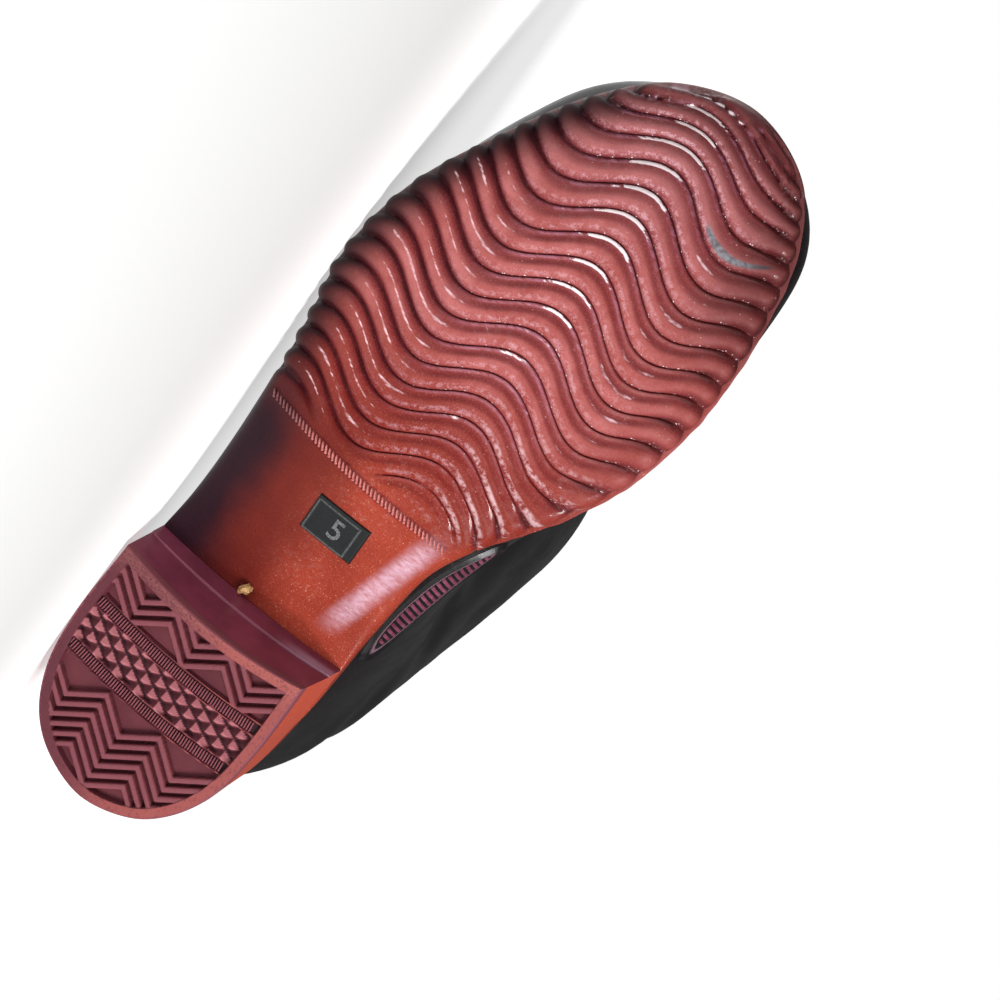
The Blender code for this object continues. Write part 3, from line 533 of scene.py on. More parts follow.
def soleFinish():
    material, shader, spot = newFinish("brick red rubber")
    x, y = spot.axis("X"), spot.axis("Y")
    trough, ledge, lip, crown, shine, outer = (spot.mark(name) for name in soleMarks)
    clouds = spot.noise(26, 3, 0.55)
    patches = spot.noise(7, 4, 0.6, seed=4.0)
    fine = spot.noise(0.4, 3, 0.65, seed=2.0)
    peel = spot.noise(1.3, 2, 0.5, seed=7.0)
    wrinkle = spot.noise(1.1, 3, 0.62, stretch=(1.0, 0.4, 1.0), seed=13.0)
    beads = spot.cells(1.7).ramp(0.2, 0.08) * patches.ramp(0.52, 0.6)
    highlightSpecks = spot.cells(0.8).ramp(0.26, 0.1) * peel.ramp(0.42, 0.62)
    fore = x.ramp(128, 186)
    shank = x.ramp(150, 118)
    toe = x.ramp(205, 258)
    lit = y.ramp(-8, 10)
    # orange shank, then pinker and duller where the ribs are worn, greyer at the toe
    orange = clouds.ramp(0.3, 0.7).blend(shade(122, 38, 24), shade(150, 55, 37))
    worn = patches.ramp(0.3, 0.72).blend(shade(150, 69, 65), shade(174, 96, 94))
    worn = worn.paint(shade(160, 96, 98), toe * 0.8)
    body = fore.blend(orange, worn)
    # painted shade over the heelward ribs, where the sole slopes towards the heel
    body = body.paint(shade(112, 30, 22), x.ramp(120, 134) * x.ramp(176, 150) * 0.5)
    # painted shade on the ribs' walls and in their creases
    groove = fore.blend(shade(122, 34, 28), shade(112, 36, 40))
    body = body.paint(groove, trough.ramp(0.0, 0.6) * 0.8)
    body = body.paint(shade(72, 18, 27), trough.ramp(0.55, 1.0) * 0.82)
    # fine scuffs, darker towards the inner edge and at the tip, painted shade at the inner toe
    body = body.paint(shade(206, 134, 128), fine.ramp(0.5, 0.75) * 0.26)
    body = body.paint(shade(84, 26, 24), fine.ramp(0.48, 0.28) * 0.26)
    body = body.paint(shade(112, 44, 40), (y - x.ramp(150, 190) * 14).ramp(30, 54) * fore * 0.4)
    body = body.paint(shade(84, 32, 34), x.ramp(248, 266) * 0.75)
    body = body.paint(shade(66, 24, 26), y.ramp(42, 60) * x.ramp(200, 230) * 0.55)
    # painted shade over the shank's outer half, and along the outer edge
    stainAndShade = y + (clouds - 0.5) * 16
    body = body.paint(shade(76, 16, 14), shank * stainAndShade.ramp(15, -7) * 0.75)
    body = body.paint(shade(28, 10, 22), shank * stainAndShade.ramp(-7, -25) * 0.95)
    body = body.paint(shade(26, 7, 13), outer * (1 - shank) * x.ramp(264, 244) * 0.93)
    # painted shade on walls that face the floor, and on those that face up at the toe
    upward = spot.facing("Z")
    body = body.paint(shade(30, 9, 14), upward.ramp(-0.42, -0.8) * x.ramp(120, 135) * 0.8)
    body = body.paint(shade(56, 22, 26), upward.ramp(0.5, 0.85) * x.ramp(198, 224) * 0.65)
    dirt = trough.ramp(0.7, 1.0) * patches.ramp(0.44, 0.62)
    body = body.paint(shade(36, 12, 12), dirt * 0.35)
    # painted highlights: pale specks, blisters, and glints on the ledges and along their lips
    body = body.paint(shade(226, 138, 104), highlightSpecks * lit * (0.16 + shank * 0.44))
    body = body.paint(shade(226, 160, 156), beads * lit * 0.4)
    crest = y.ramp(8, 19) * y.ramp(34, 24) * x.ramp(150, 205)
    broken = (wrinkle - 0.5) * 1.8 + (spot.noise(9, 2, seed=21.0) - 0.5) * 2.4
    glints = (ledge * crest * (1 + toe * 0.35) + broken).ramp(0.62, 0.9) * ledge
    glints = glints.either(lip * lit * fore * spot.cells(0.9).ramp(0.34, 0.16) * peel.ramp(0.46, 0.6))
    # painted highlight lines along the outer and inner rolls
    outerRolls = y.ramp(-30, -20) * y.ramp(10, -4) * x.ramp(236, 200)
    innerRolls = y.ramp(38, 44) * y.ramp(58, 50) * x.ramp(150, 170) * x.ramp(246, 232)
    gleam = (shine * outerRolls.either(innerRolls * 0.8) + broken * 0.9).ramp(0.65, 1.15) * shine
    body = body.paint(shade(240, 204, 212), gleam * (0.25 + wrinkle.ramp(0.42, 0.6) * 0.5))
    # painted highlights on the heelward ribs of the inner half
    corner = crown * x.ramp(124, 132) * x.ramp(176, 150) * y.ramp(20, 34)
    corner = corner * (peel * 0.5 + patches * 0.5).ramp(0.42, 0.58)
    body = body.paint(shade(240, 212, 216), corner * 0.45)
    # painted violet reflection on the ledges
    violetReflection = ledge * fore * y.ramp(-8, 8) * y.ramp(46, 30) * wrinkle.ramp(0.35, 0.6)
    body = body.paint(shade(184, 122, 150), violetReflection * 0.45)
    # painted sheen on the tops, then the glints laid over all
    sheen = crown * (1 - outer) * y.ramp(-20, 14) * y.ramp(60, 36) * x.ramp(122, 140) * x.ramp(266, 254)
    sheen = sheen * (peel * 0.55 + fine * 0.45).ramp(0.44, 0.6)
    body = body.paint(shade(220, 172, 182), sheen * (0.34 + toe * 0.2))
    body = body.paint(shade(255, 244, 246), glints * 0.95)
    # painted highlight streak along the shank's inner side, and a silvery smear near the toe
    station, middle, slant = sole["highlightStreak"]
    across = abs(y - middle - (x - station) * slant)
    highlightStreak = across.ramp(5.0, 0.5) * x.ramp(76, 88) * x.ramp(128, 114)
    body = body.paint(shade(216, 182, 200), highlightStreak * (0.3 + wrinkle.ramp(0.3, 0.7) * 0.4))
    turn = (y - sole["waveCrest"]) * (2 * math.pi / sole["wavePeriod"])
    swing = spot.sum("COSINE", turn) * sole["waveSwing"]
    station, middle = sole["smear"]
    smear = abs(x - swing - station) + abs(y - middle) * 0.05
    smear = smear.ramp(1.5, 0.9) * y.ramp(38.5, 41.0) * y.ramp(61.5, 58.0)
    silver = peel.ramp(0.35, 0.65).blend(shade(84, 88, 94), shade(122, 126, 132))
    body = body.paint(silver.paint(shade(58, 54, 58), y.ramp(50, 60)), smear * 0.9)
    rough = 0.36 + patches * 0.16 + fore * 0.06 - glints * 0.2
    skin = fine.bump(0.06, 0.5)
    skin = peel.bump(0.16, 0.5, skin)
    skin = (wrinkle * (0.35 + highlightStreak + ledge * 0.7)).bump(0.35, 0.6, skin)
    skin = beads.bump(0.3, 0.6, skin)
    gloss = lit * (ledge * 0.8).either(peel.ramp(0.48, 0.62) * clouds.ramp(0.42, 0.6) * 0.6)
    gloss = gloss.either(fore * (1 - outer) * y.ramp(6, -6) * 0.5)
    setFinish(shader, {"Specular IOR Level": 0.14, "Coat Roughness": 0.1, "Coat IOR": 1.5},
              {"Base Color": body, "Roughness": rough, "Coat Weight": gloss, "Normal": skin})
    return material


# heel block

heel = {
    "treadBack": (-0.6, -2.0),
    "treadPlan": ((4, -17, 13.5), (12, -26, 22), (25, -32, 28.4), (42, -34.2, 30.6), (68.6, -33.4, 30.4)),
    "levels": (   # height share, blend from tread to seat, breast corner, breast hollow
        (0, 0, 68.6, 3.8), (0.7, 0.7, 70.3, 2.4), (0.71, 0.71, 70.75, 2.05), (1, 1, 71.8, 1.4)),
    "wallShares": (0.03, 0.06, 0.2, 0.35, 0.5, 0.62, 0.7, 0.71, 0.82, 0.92, 1.0),
    "seat": ((0, 72), (24.5, 21.4)),   # stations and heights of the sole over the heel
    "seatGap": 0.2,
    "seatPlan": 60,                    # the seat follows the sole's plan up to this station
    "hollowFrom": 38,                  # station where the tread's rows start to follow the breast
    "edgeRound": 0.45,
    "edgeRow": (0.012, 0.72),          # height share of the edge's first row, and how far out it is
    "rim": 3.3,
    "rimDark": 0.28,
    "wallSlope": 0.45,
    "depth": 2.3,
    "zigzag": (19.4, 7.6),             # period across, swing along
    "barPitch": 3.75,
    "barTop": 0.3,
    "barCrown": 0.06,
    "barHalf": (0.95, 1.5),            # half width at the top and at the foot, along the boot
    "barClear": 0.6,                   # least gap between bars and bands
    "barDark": (0.15, 0.75, 0.3),      # painted shade on a bar's top, what its wall adds, what the floor loses
    "barDarkAt": (0.4, 1.7, 2.0),      # depths where the wall starts and ends, and where the floor starts
    "frontBars": (50.5, -10.6, 3),     # station of the first bar, y of a toe-side tip, count
    "backBars": (2.6, -12.8, 6),
    "bands": (32.6, 48.0),
    "bandHalf": 1.75,
    "bandFloor": 1.5,
    "bandLine": (2.1, 0.28, 0.75),     # border line: off the band's middle, half width, depth
    "bandLineEdge": (0.6, 2.2, 1.6),   # where its edge starts and ends in half widths, and its fall
    "bandLineDark": 0.3,
    "bandBow": (2.2, 30.0),
    "bandReach": (-30.2, 25.6),
    "rungPitch": 0.88,
    "rungSize": (3.1, 0.42, 1.1),
    "rungSink": 0.25,
    "rungUneven": (0.08, 0.9),         # change of width, and how quickly it changes from rung to rung
    "rungBevel": 0.13,
    "pyramid": (4.2, 7.8, 0.4, 2.3),   # length, width, depth of the tip and of the foot
    "pyramidShift": 0.75,              # of the rows along the boot, in lengths
    "facetDark": (-0.2, 0.7),          # painted shade on a pyramid's inner and outer half; below zero is painted light
    "facetSides": ((0.46, 0.34), (0.16, 0.08)),   # places where painted shade on its two sides starts and is full
    "facetSideDark": (1.2, 0.8, 0.2),  # of both sides, share of the second, what is taken off
    # the mesh
    "outlinePoints": 401,
    "cell": 0.34,
    "backRows": (9, 40),               # length of the close rows at the back, and their count
    "breastPoints": 41,
    "loopStep": 4,                     # every fourth point of the outline measures the rim
}


def heelBack(points, corner):
    # plan from the outer breast corner round the back to the inner one, as x, y
    rows, back = points
    loop = planCurve([(x, low) for x, low, high in reversed(rows)] + [back]
                     + [(x, high) for x, low, high in rows], heel["outlinePoints"], False)
    apex = loop[:, 0].min()
    loop[:, 0] = apex + (loop[:, 0] - apex) * (corner - apex) / (loop[0, 0] - apex)
    return loop


def heelLevel(share):
    blend, corner, hollow = (np.interp(share, *np.array(heel["levels"]).T[[0, k]]) for k in (1, 2, 3))
    seatRows = [row for row in sole["plan"] if row[0] < heel["seatPlan"]]
    seatRows.append((corner, edgeAt(outerSide, corner)[1], edgeAt(innerSide, corner)[1]))
    tread = heelBack((heel["treadPlan"], heel["treadBack"]), corner)
    seat = heelBack((seatRows, sole["heelBack"]), corner)
    return tread * (1 - blend) + seat * blend, corner, hollow


def bandBow(y):
    bow, at = heel["bandBow"]
    return bow * (y / at) ** 2


def barDepth(x, y, bars, limit):
    first, tip, count = bars
    period, swing = heel["zigzag"]
    turn = np.abs(((y - tip) / period + 0.5) % 1.0 - 0.5) * 2
    off = x - first - swing * (1 - turn)
    number = np.clip(np.round(off / heel["barPitch"]), 0, count - 1)
    off = np.abs(off - number * heel["barPitch"])
    top, foot = heel["barHalf"]
    rise = rampUp(off, top, foot) + heel["barCrown"] * np.clip(off / top, 0, 1) ** 2
    return np.where(limit, heel["barTop"] + (heel["depth"] - heel["barTop"]) * np.clip(rise, 0, 1),
                    heel["depth"])


def treadDepth(x, y, edgeOff):
    # depth of the tread below the rim, and how much painted shade the spot takes, below zero painted
    # light
    lower, upper = (station + bandBow(y) for station in heel["bands"])
    half = heel["bandHalf"]
    clear = half + heel["barClear"]
    depth = np.minimum(barDepth(x, y, heel["backBars"], x < lower - clear),
                       barDepth(x, y, heel["frontBars"], x > upper + clear))
    (onTop, onWall, onFloor), (wallFrom, wallTo, floorFrom) = heel["barDark"], heel["barDarkAt"]
    dark = onTop + onWall * rampUp(depth, wallFrom, wallTo)
    dark = dark - onFloor * rampUp(depth, floorFrom, heel["depth"])
    length, width, tip, foot = heel["pyramid"]
    along = (x - (lower + upper) / 2) / length + heel["pyramidShift"]
    cellA, cellB = (along + y / width) % 1.0, (along - y / width) % 1.0
    point = 1 - 2 * np.maximum(np.abs(cellA - 0.5), np.abs(cellB - 0.5))
    between = (x > lower + half) & (x < upper - half)
    depth = np.where(between, foot + (tip - foot) * point, depth)
    facets = np.where(cellA > cellB, *heel["facetDark"])
    (firstSide, secondSide), (sideDark, share, off) = heel["facetSides"], heel["facetSideDark"]
    sides = np.maximum(rampUp(cellA, *firstSide), share * rampUp(cellB, *secondSide)) - off
    dark = np.where(between, np.maximum(facets, sideDark * sides), dark)
    (lineOff, lineHalf, lineDepth), (edgeFrom, edgeTo, fall) = heel["bandLine"], heel["bandLineEdge"]
    for band in (lower, upper):
        inside = np.abs(x - band) < half
        depth, dark = np.where(inside, heel["bandFloor"], depth), np.where(inside, 1.0, dark)
        line = rampUp(np.abs(np.abs(x - band) - lineOff), lineHalf * edgeFrom, lineHalf * edgeTo)
        depth = np.minimum(depth, lineDepth + fall * line)
        dark = np.minimum(dark, heel["bandLineDark"] + line)
    wall = rampUp(edgeOff, heel["rim"], heel["rim"] + heel["wallSlope"])
    dark = np.where(edgeOff < heel["rim"], heel["rimDark"], dark)
    return np.minimum(depth, heel["depth"] * wall), dark


def offLoop(x, y, loop):
    # distance from each point to a closed plan loop
    best = np.full(x.shape, np.inf)
    for a, b in zip(loop, np.roll(loop, -1, axis=0)):
        run = b - a
        t = np.clip(((x - a[0]) * run[0] + (y - a[1]) * run[1]) / max(run @ run, 1e-9), 0, 1)
        best = np.minimum(best, np.hypot(x - a[0] - t * run[0], y - a[1] - t * run[1]))
    return best


def heelWalls(x, y, row, outline):
    # rings up the walls: outer side to the back, inner side to the front, then across the breast
    apex = int(np.argmin(outline[:, 0]))
    place = np.linspace(0, 1, len(outline))
    outerPlace = np.interp(row, outline[apex::-1, 0], place[apex::-1])[::-1]
    innerPlace = np.interp(row, outline[apex:, 0], place[apex:])[1:]
    at = np.concatenate([outerPlace, innerPlace])
    across = np.linspace(1, 0, x.shape[1])[1:]
    rim = np.vstack([np.column_stack([x[::-1, 0], y[::-1, 0]]), np.column_stack([x[1:, -1], y[1:, -1]]),
                     np.column_stack([x[-1, -2::-1], y[-1, -2::-1]])])
    rings = [np.column_stack([rim, np.zeros(len(rim))])]
    edgeShare, edgeOut = heel["edgeRow"]
    for share in (edgeShare,) + heel["wallShares"]:
        back, corner, hollow = heelLevel(share)
        side = np.stack([np.interp(at, place, back[:, k]) for k in (0, 1)], 1)
        front = np.column_stack([corner - hollow * bowed(across),
                                 back[0, 1] + (back[-1, 1] - back[0, 1]) * across])
        ring = np.vstack([side, front])
        if share == edgeShare:
            ring = rim + (ring - rim) * edgeOut
        height = (np.interp(ring[:, 0], *heel["seat"]) - heel["seatGap"]) * share
        rings.append(np.column_stack([ring, height]))
    return np.stack(rings)


def makeHeel(material):
    outline, corner, hollow = heelLevel(0.0)
    inset = heel["edgeRound"]
    apex = int(np.argmin(outline[:, 0]))
    outerHalf, innerHalf = outline[:apex + 1][::-1], outline[apex:]
    first = outline[apex, 0]
    length, rows = heel["backRows"]
    near = first + length * np.linspace(0, 1, rows)[:-1] ** 2
    row = np.concatenate([near, np.arange(first + length, corner, heel["cell"]), [corner]])
    span = row[-1] - row[0]
    low = np.interp(row, outerHalf[:, 0], outerHalf[:, 1])
    high = np.interp(row, innerHalf[:, 0], innerHalf[:, 1])
    columns = int((high - low).max() / heel["cell"])
    t = np.linspace(0, 1, columns + 1)[None, :]
    shrink = 1 - 2 * inset / np.maximum(high - low, 2 * inset)
    middle, half = (low + high) / 2, (high - low) / 2 * shrink
    y = middle[:, None] + half[:, None] * (2 * t - 1)
    x = first + inset + (row[:, None] - first) * (span - 2 * inset) / span
    x = x - hollow * bowed(t) * rampUp(row, heel["hollowFrom"], corner)[:, None]
    breastT = np.linspace(1, 0, heel["breastPoints"])[1:-1]
    breast = np.column_stack([corner - hollow * bowed(breastT), low[-1] + (high[-1] - low[-1]) * breastT])
    loop = np.vstack([outline[::heel["loopStep"]], breast])
    depth, dark = treadDepth(x, y, offLoop(x, y, loop))
    shape = bmesh.new()
    foldSheet(shape, np.stack([x, y, depth], -1), trough=dark)
    foldSheet(shape, heelWalls(x, y, row, outline))
    bmesh.ops.remove_doubles(shape, verts=shape.verts, dist=0.004)
    bmesh.ops.holes_fill(shape, edges=rimEdges(shape), sides=0)
    finishPiece("heel_block", shape, material, "heel", sharp=42.0)


def makeRungs(material):
    shape = bmesh.new()
    (bow, at), (long, wide, deep), (uneven, quick) = heel["bandBow"], heel["rungSize"], heel["rungUneven"]
    for band in heel["bands"]:
        for y in np.arange(*heel["bandReach"], heel["rungPitch"]):
            lean = math.atan(2 * bow * y / at ** 2)
            spot = Matrix.Translation((band + bandBow(y), y, heel["bandFloor"] - heel["rungSink"]))
            lump = uneven * noise.noise(Vector((y * quick, band, 0)))
            made = bmesh.ops.create_cube(shape, size=1.0, matrix=spot @ Matrix.Rotation(-lean, 4, "Z")
                                         @ Matrix.Diagonal((long, wide + lump, deep, 1)))
            edges = list({e for v in made["verts"] for e in v.link_edges})
            bmesh.ops.bevel(shape, geom=edges, offset=heel["rungBevel"], affect="EDGES", segments=1,
                            profile=0.5, material=-1)
    finishPiece("heel_rungs", shape, material, weld=0, sharp=60.0)


def heelFinish():
    material, shader, spot = newFinish("maroon heel rubber")
    x, y, z = (spot.axis(name) for name in "XYZ")
    trough = spot.mark("trough")
    clouds = spot.noise(14, 3, 0.55)
    grit = spot.noise(0.45, 2, 0.6, seed=3.0)
    crumbs = spot.noise(0.9, 3, 0.65, seed=5.0)
    below = z.ramp(3.0, 2.4)
    wall = 1 - below
    inner = spot.facing("Z").ramp(0.1, 0.75) * wall
    back = spot.facing("X").ramp(0.15, 0.7) * wall
    body = clouds.ramp(0.3, 0.7).blend(shade(84, 32, 42), shade(98, 42, 50))
    worn = below * trough.ramp(0.4, 0.05)
    body = body.paint(shade(142, 80, 88), worn * (0.2 + grit * 0.7))
    # painted light on the pyramids' lit faces
    body = body.paint(shade(188, 116, 122), below * trough.ramp(-0.08, -0.2) * 0.55)
    # rim: lighter at the front, warmer towards the inner side, painted shade on the outer side
    rim = below * trough.ramp(0.2, 0.26) * trough.ramp(0.36, 0.3)
    front = x.ramp(58, 68)
    body = body.paint(shade(180, 112, 104), rim * front * grit.ramp(0.3, 0.65) * 0.6)
    body = body.paint(shade(164, 84, 76), rim * y.ramp(-14, 14) * 0.55)
    body = body.paint(shade(66, 24, 36), rim * y.ramp(0, -30) * 0.5)
    body = body.paint(shade(70, 26, 34), rim * crumbs.ramp(0.52, 0.62) * 0.4)
    # painted shade in the grooves, on the band floors and on the facets' shaded sides
    body = body.paint(shade(34, 8, 15), below * trough.ramp(0.5, 1.0) * 0.9)
    dirt = below * crumbs.ramp(0.58, 0.7) * trough.ramp(0.4, 0.9)
    body = body.paint(shade(30, 14, 18), dirt * 0.5)
    plum = clouds.ramp(0.25, 0.75).blend(shade(110, 46, 68), shade(140, 64, 86))
    body = body.paint(plum, wall * 0.9)
    sheen = y.ramp(12, 27) * z.ramp(14.6, 15.4) * x.ramp(66, 69) * z.ramp(19.5, 16.5)
    body = body.paint(shade(206, 176, 200), sheen * 0.45)
    brick = clouds.ramp(0.3, 0.7).blend(shade(136, 46, 34), shade(160, 66, 50))
    body = body.paint(brick, back * 0.92)
    # orange inner wall, painted lighter as the side where the light falls
    litOrange = grit.ramp(0.4, 0.75).blend(shade(196, 72, 44), shade(218, 102, 74))
    body = body.paint(litOrange, inner * (1 - back * 0.6) * 0.92)
    rough = 0.62 - wall * 0.26 + grit * 0.12
    skin = grit.bump(0.08, 0.5)
    skin = (crumbs * below).bump(0.14, 0.45, skin)
    setFinish(shader, {"Specular IOR Level": 0.25, "Coat Roughness": 0.2},
              {"Base Color": body, "Roughness": rough, "Coat Weight": wall * 0.4, "Normal": skin})
    return material


# plait, a row of slanted strokes between shank and ribs

plait = {
    "reach": (-27.0, 36.5),
    "pitch": 1.32,
    "stroke": (1.6, 0.36, 0.62),    # half length, half width, half height
    "slant": -25.0,
    "slantWaver": (5.0, 0.7),       # degrees, and how quickly they change from stroke to stroke
    "bead": (0.5, 0.44, 0.5),
    "beadAt": -1.0,                 # along the stroke from its middle
}


def makePlait(material):
    shape = bmesh.new()
    waver, quick = plait["slantWaver"]
    for number, y in enumerate(np.arange(*plait["reach"], plait["pitch"])):
        turn = math.radians(plait["slant"] + waver * noise.noise(Vector((number * quick, 0, 0))))
        middle = Vector((float(plaitStation(y)), y, 0))
        way = Vector((math.cos(turn), math.sin(turn), 0))
        for size, along in ((plait["stroke"], 0.0), (plait["bead"], plait["beadAt"])):
            spot = middle + way * along
            spot.z = float(soleBase(spot.x, spot.y)) - sole["plaitRise"]
            climb = float(soleBase(spot.x + 1, spot.y) - soleBase(spot.x - 1, spot.y))
            tilt = math.atan2(climb, 2)   # the sole's slope from one millimetre before to one behind
            place = (Matrix.Translation(spot) @ Matrix.Rotation(turn, 4, "Z")
                     @ Matrix.Rotation(-tilt, 4, "Y") @ Matrix.Diagonal((*size, 1)))
            bmesh.ops.create_icosphere(shape, subdivisions=2, radius=1.0, matrix=place)
    finishPiece("plait_strokes", shape, material, weld=0)


def plaitFinish():
    material, shader, spot = newFinish("worn plait rubber")
    y = spot.axis("Y")
    grain = spot.noise(0.5, 3, 0.6)
    body = grain.ramp(0.35, 0.65).blend(shade(158, 76, 68), shade(200, 122, 116))
    # painted shade towards the outer side
    body = body.paint(shade(58, 24, 34), y.ramp(-4, -24) * 0.8)
    setFinish(shader, {"Specular IOR Level": 0.35},
              {"Base Color": body, "Roughness": 0.36 + grain * 0.2, "Normal": grain.bump(0.08, 0.4)})
    return material


# thin trimmed edge left by the mould along the inner side of the forefoot

flash = {
    "from": 128.0,
    "step": 3,                  # every third point of the sole's inner edge
    "foot": 3.0,                # inward from the edge, where the wall's foot is measured
    "lift": 0.42,               # height as a share of the wall
    "liftWaver": (0.35, 9.0),   # and how far it wavers, over what length
    "width": (0.3, 1.0),
    "widthWaver": 5.0,
    "taper": 30,                # points over which both ends run out
    "rows": (-1.2, 0.0, 0.55, 1.0),   # inside the wall in millimetres, then shares of the width
    "upturn": 0.2,
    "thick": 0.5,
}


def makeFlash(material):
    path = innerSide[innerSide[:, 0] > flash["from"]][::flash["step"]]
    x, y = path[:, 0], path[:, 1]
    low = soleBase(*(path[:, :2] + path[:, 2:] * flash["foot"]).T)
    high = soleColumn(1, x) + soleColumn(2, x)
    waver, size = flash["liftWaver"]
    height = low + (high - low) * flash["lift"] + waver * lumps(x, y, size=size, seed=5.0)
    least, most = flash["width"]
    reach = least + (most - least) * (0.5 + 0.5 * lumps(x, y, size=flash["widthWaver"], seed=8.0))
    ends = np.minimum(np.arange(len(path)), np.arange(len(path))[::-1])
    reach = reach * rampUp(ends, 0, flash["taper"])
    sheet = []
    for share in flash["rows"]:
        out = share if share < 0 else share * reach
        spot = path[:, :2] - path[:, 2:] * np.reshape(out, (-1, 1))
        sheet.append(np.column_stack([spot, height + flash["upturn"] * max(share, 0) * reach]))
    shape = bmesh.new()
    foldSheet(shape, np.stack(sheet, 1))
    bmesh.ops.remove_doubles(shape, verts=shape.verts, dist=0.002)
    bmesh.ops.recalc_face_normals(shape, faces=shape.faces)
    bmesh.ops.solidify(shape, geom=shape.faces[:], thickness=flash["thick"])
    finishPiece("mould_edge", shape, material)


# upper and its lining

upper = {
    "smooth": 2,
    "wall": 2.3,
    "liningGap": 0.12,
    "liningThick": 0.5,
    "crispAngle": 60,           # degrees at which the outer face ends
    "joinAngles": (30, 60),     # most between two triangles, and off a square, for a joined face
    "creaseReach": 22.0,        # how deep through the boot a crease is felt
    "shoulders": (1.7, 0.5),    # ridges beside a crease: half widths from its middle, share of its depth
    "creaseFades": ((24, 50), (290, 262)),   # heights where creases set in, at the sole and at the collar
    "creases": (   # middle on the boot, direction along the crease, half length, half width, depth
        ((139, 8, 118), (0.1, 1, 0.1), 34, 7.0, 2.2),
        ((131, 6, 140), (0.05, 1, -0.05), 38, 8.0, 2.6),
        ((126, 4, 163), (0.0, 1, 0.1), 34, 8.0, 1.8),
        ((100, 44, 96), (0.8, 0.1, -0.55), 26, 7.0, 1.5),
        ((78, 44, 122), (0.9, 0.05, -0.35), 30, 8.0, 1.6),
        ((88, -40, 104), (0.85, -0.1, -0.5), 28, 8.0, 1.4),
        ((30, 30, 96), (0.6, 0.6, 0.25), 24, 8.0, 1.3),
        ((24, -26, 110), (0.6, -0.6, 0.2), 24, 8.0, 1.3),
        ((8, 2, 84), (0.0, 1, 0.05), 26, 9.0, 1.5),
        ((60, 48, 190), (0.4, 0.1, 0.9), 40, 13.0, 1.6),
        ((70, -46, 205), (-0.3, 0.1, 0.95), 40, 13.0, 1.4),
    ),
}


def growFrom(face, angle):
    # faces reached from one face without crossing a crisp edge
    found, waiting = {face}, [face]
    while waiting:
        for edge in waiting.pop().edges:
            if len(edge.link_faces) == 2 and edge.calc_face_angle() < angle:
                for beside in edge.link_faces:
                    if beside not in found:
                        found.add(beside)
                        waiting.append(beside)
    return found


def creaseMove(vert):
    # how far the creases move one point of the upper along its normal
    ridgeAt, ridgeShare = upper["shoulders"]
    move = 0.0
    for middle, along, reach, width, depth in upper["creases"]:
        off = vert.co - Vector(middle)
        run = Vector(along).normalized()
        part = off.dot(run)
        side = off - run * part
        across = side - vert.normal * side.dot(vert.normal)
        sign = 1 if across.dot(run.cross(vert.normal)) > 0 else -1
        d = sign * across.length / width
        window = bell(part / reach) * bell(side.dot(vert.normal) / upper["creaseReach"])
        roll = bell(d) - ridgeShare * bell(d - ridgeAt) - ridgeShare * bell(d + ridgeAt)
        move -= depth * roll * window
    low, top = (float(rampUp(vert.co.z, *fade)) for fade in upper["creaseFades"])
    return move * low * top


def upperSheet():
    # the outer face of the imported upper, smoothed, then creased at the listed places
    shape = bmesh.new()
    shape.from_mesh(frame["nodes"]["upper"].data)
    bmesh.ops.transform(shape, matrix=standUp, verts=shape.verts)
    bmesh.ops.remove_doubles(shape, verts=shape.verts, dist=0.01)
    shape.normal_update()
    start = min(shape.faces, key=lambda face: face.calc_center_median().y)
    outside = growFrom(start, math.radians(upper["crispAngle"]))
    bmesh.ops.delete(shape, geom=[f for f in shape.faces if f not in outside], context="FACES")
    between, offSquare = (math.radians(angle) for angle in upper["joinAngles"])
    bmesh.ops.join_triangles(shape, faces=shape.faces, angle_face_threshold=between,
                             angle_shape_threshold=offSquare)
    carrier = addObject("upper_sheet", meshFrom("upper_sheet", shape))
    smooth = carrier.modifiers.new("smooth", "SUBSURF")
    smooth.levels = smooth.render_levels = upper["smooth"]
    shape = bmesh.new()
    shape.from_mesh(settledMesh(carrier))
    shape.normal_update()
    for vert in shape.verts:
        vert.co += vert.normal * creaseMove(vert)
    shape.normal_update()
    return shape


def makeUpper(sheet, material):
    shape = sheet.copy()
    bmesh.ops.solidify(shape, geom=shape.faces[:], thickness=upper["wall"])
    finishPiece("upper_skin", shape, material, "upper", sharp=55.0)


def makeLining(sheet, material):
    shape = sheet.copy()
    for vert, normal in [(v, v.normal.copy()) for v in shape.verts]:
        vert.co -= normal * (upper["wall"] + upper["liningGap"])
    bmesh.ops.solidify(shape, geom=shape.faces[:], thickness=upper["liningThick"])
    finishPiece("lining", shape, material, sharp=55.0)


def upperFinish():
    material, shader, spot = newFinish("black lacquered rubber")
    clouds = spot.noise(30, 3, 0.55)
    smears = spot.noise(9, 4, 0.62, stretch=(1, 1, 0.35), seed=3.0)
    peel = spot.noise(2.2, 2, 0.5, seed=6.0)
    dust = spot.noise(0.7, 3, 0.65, seed=8.0)
    body = clouds.blend(shade(8, 6, 8), shade(15, 11, 15))
    film = smears.ramp(0.52, 0.72) * dust.ramp(0.35, 0.7)
    body = body.paint(shade(92, 84, 82), film * 0.18)
    hem = spot.axis("Z").ramp(60, 26) * dust.ramp(0.45, 0.66)
    body = body.paint(shade(104, 74, 66), hem * 0.1)
    rough = 0.26 + smears.ramp(0.4, 0.75) * 0.16 + film * 0.2
    skin = peel.bump(0.14, 0.35)
    skin = smears.bump(0.5, 0.12, skin)
    setFinish(shader, {"Specular IOR Level": 0.3, "Coat Roughness": 0.1},
              {"Base Color": body, "Roughness": rough, "Coat Weight": 0.25 - film * 0.2, "Normal": skin})
    return material


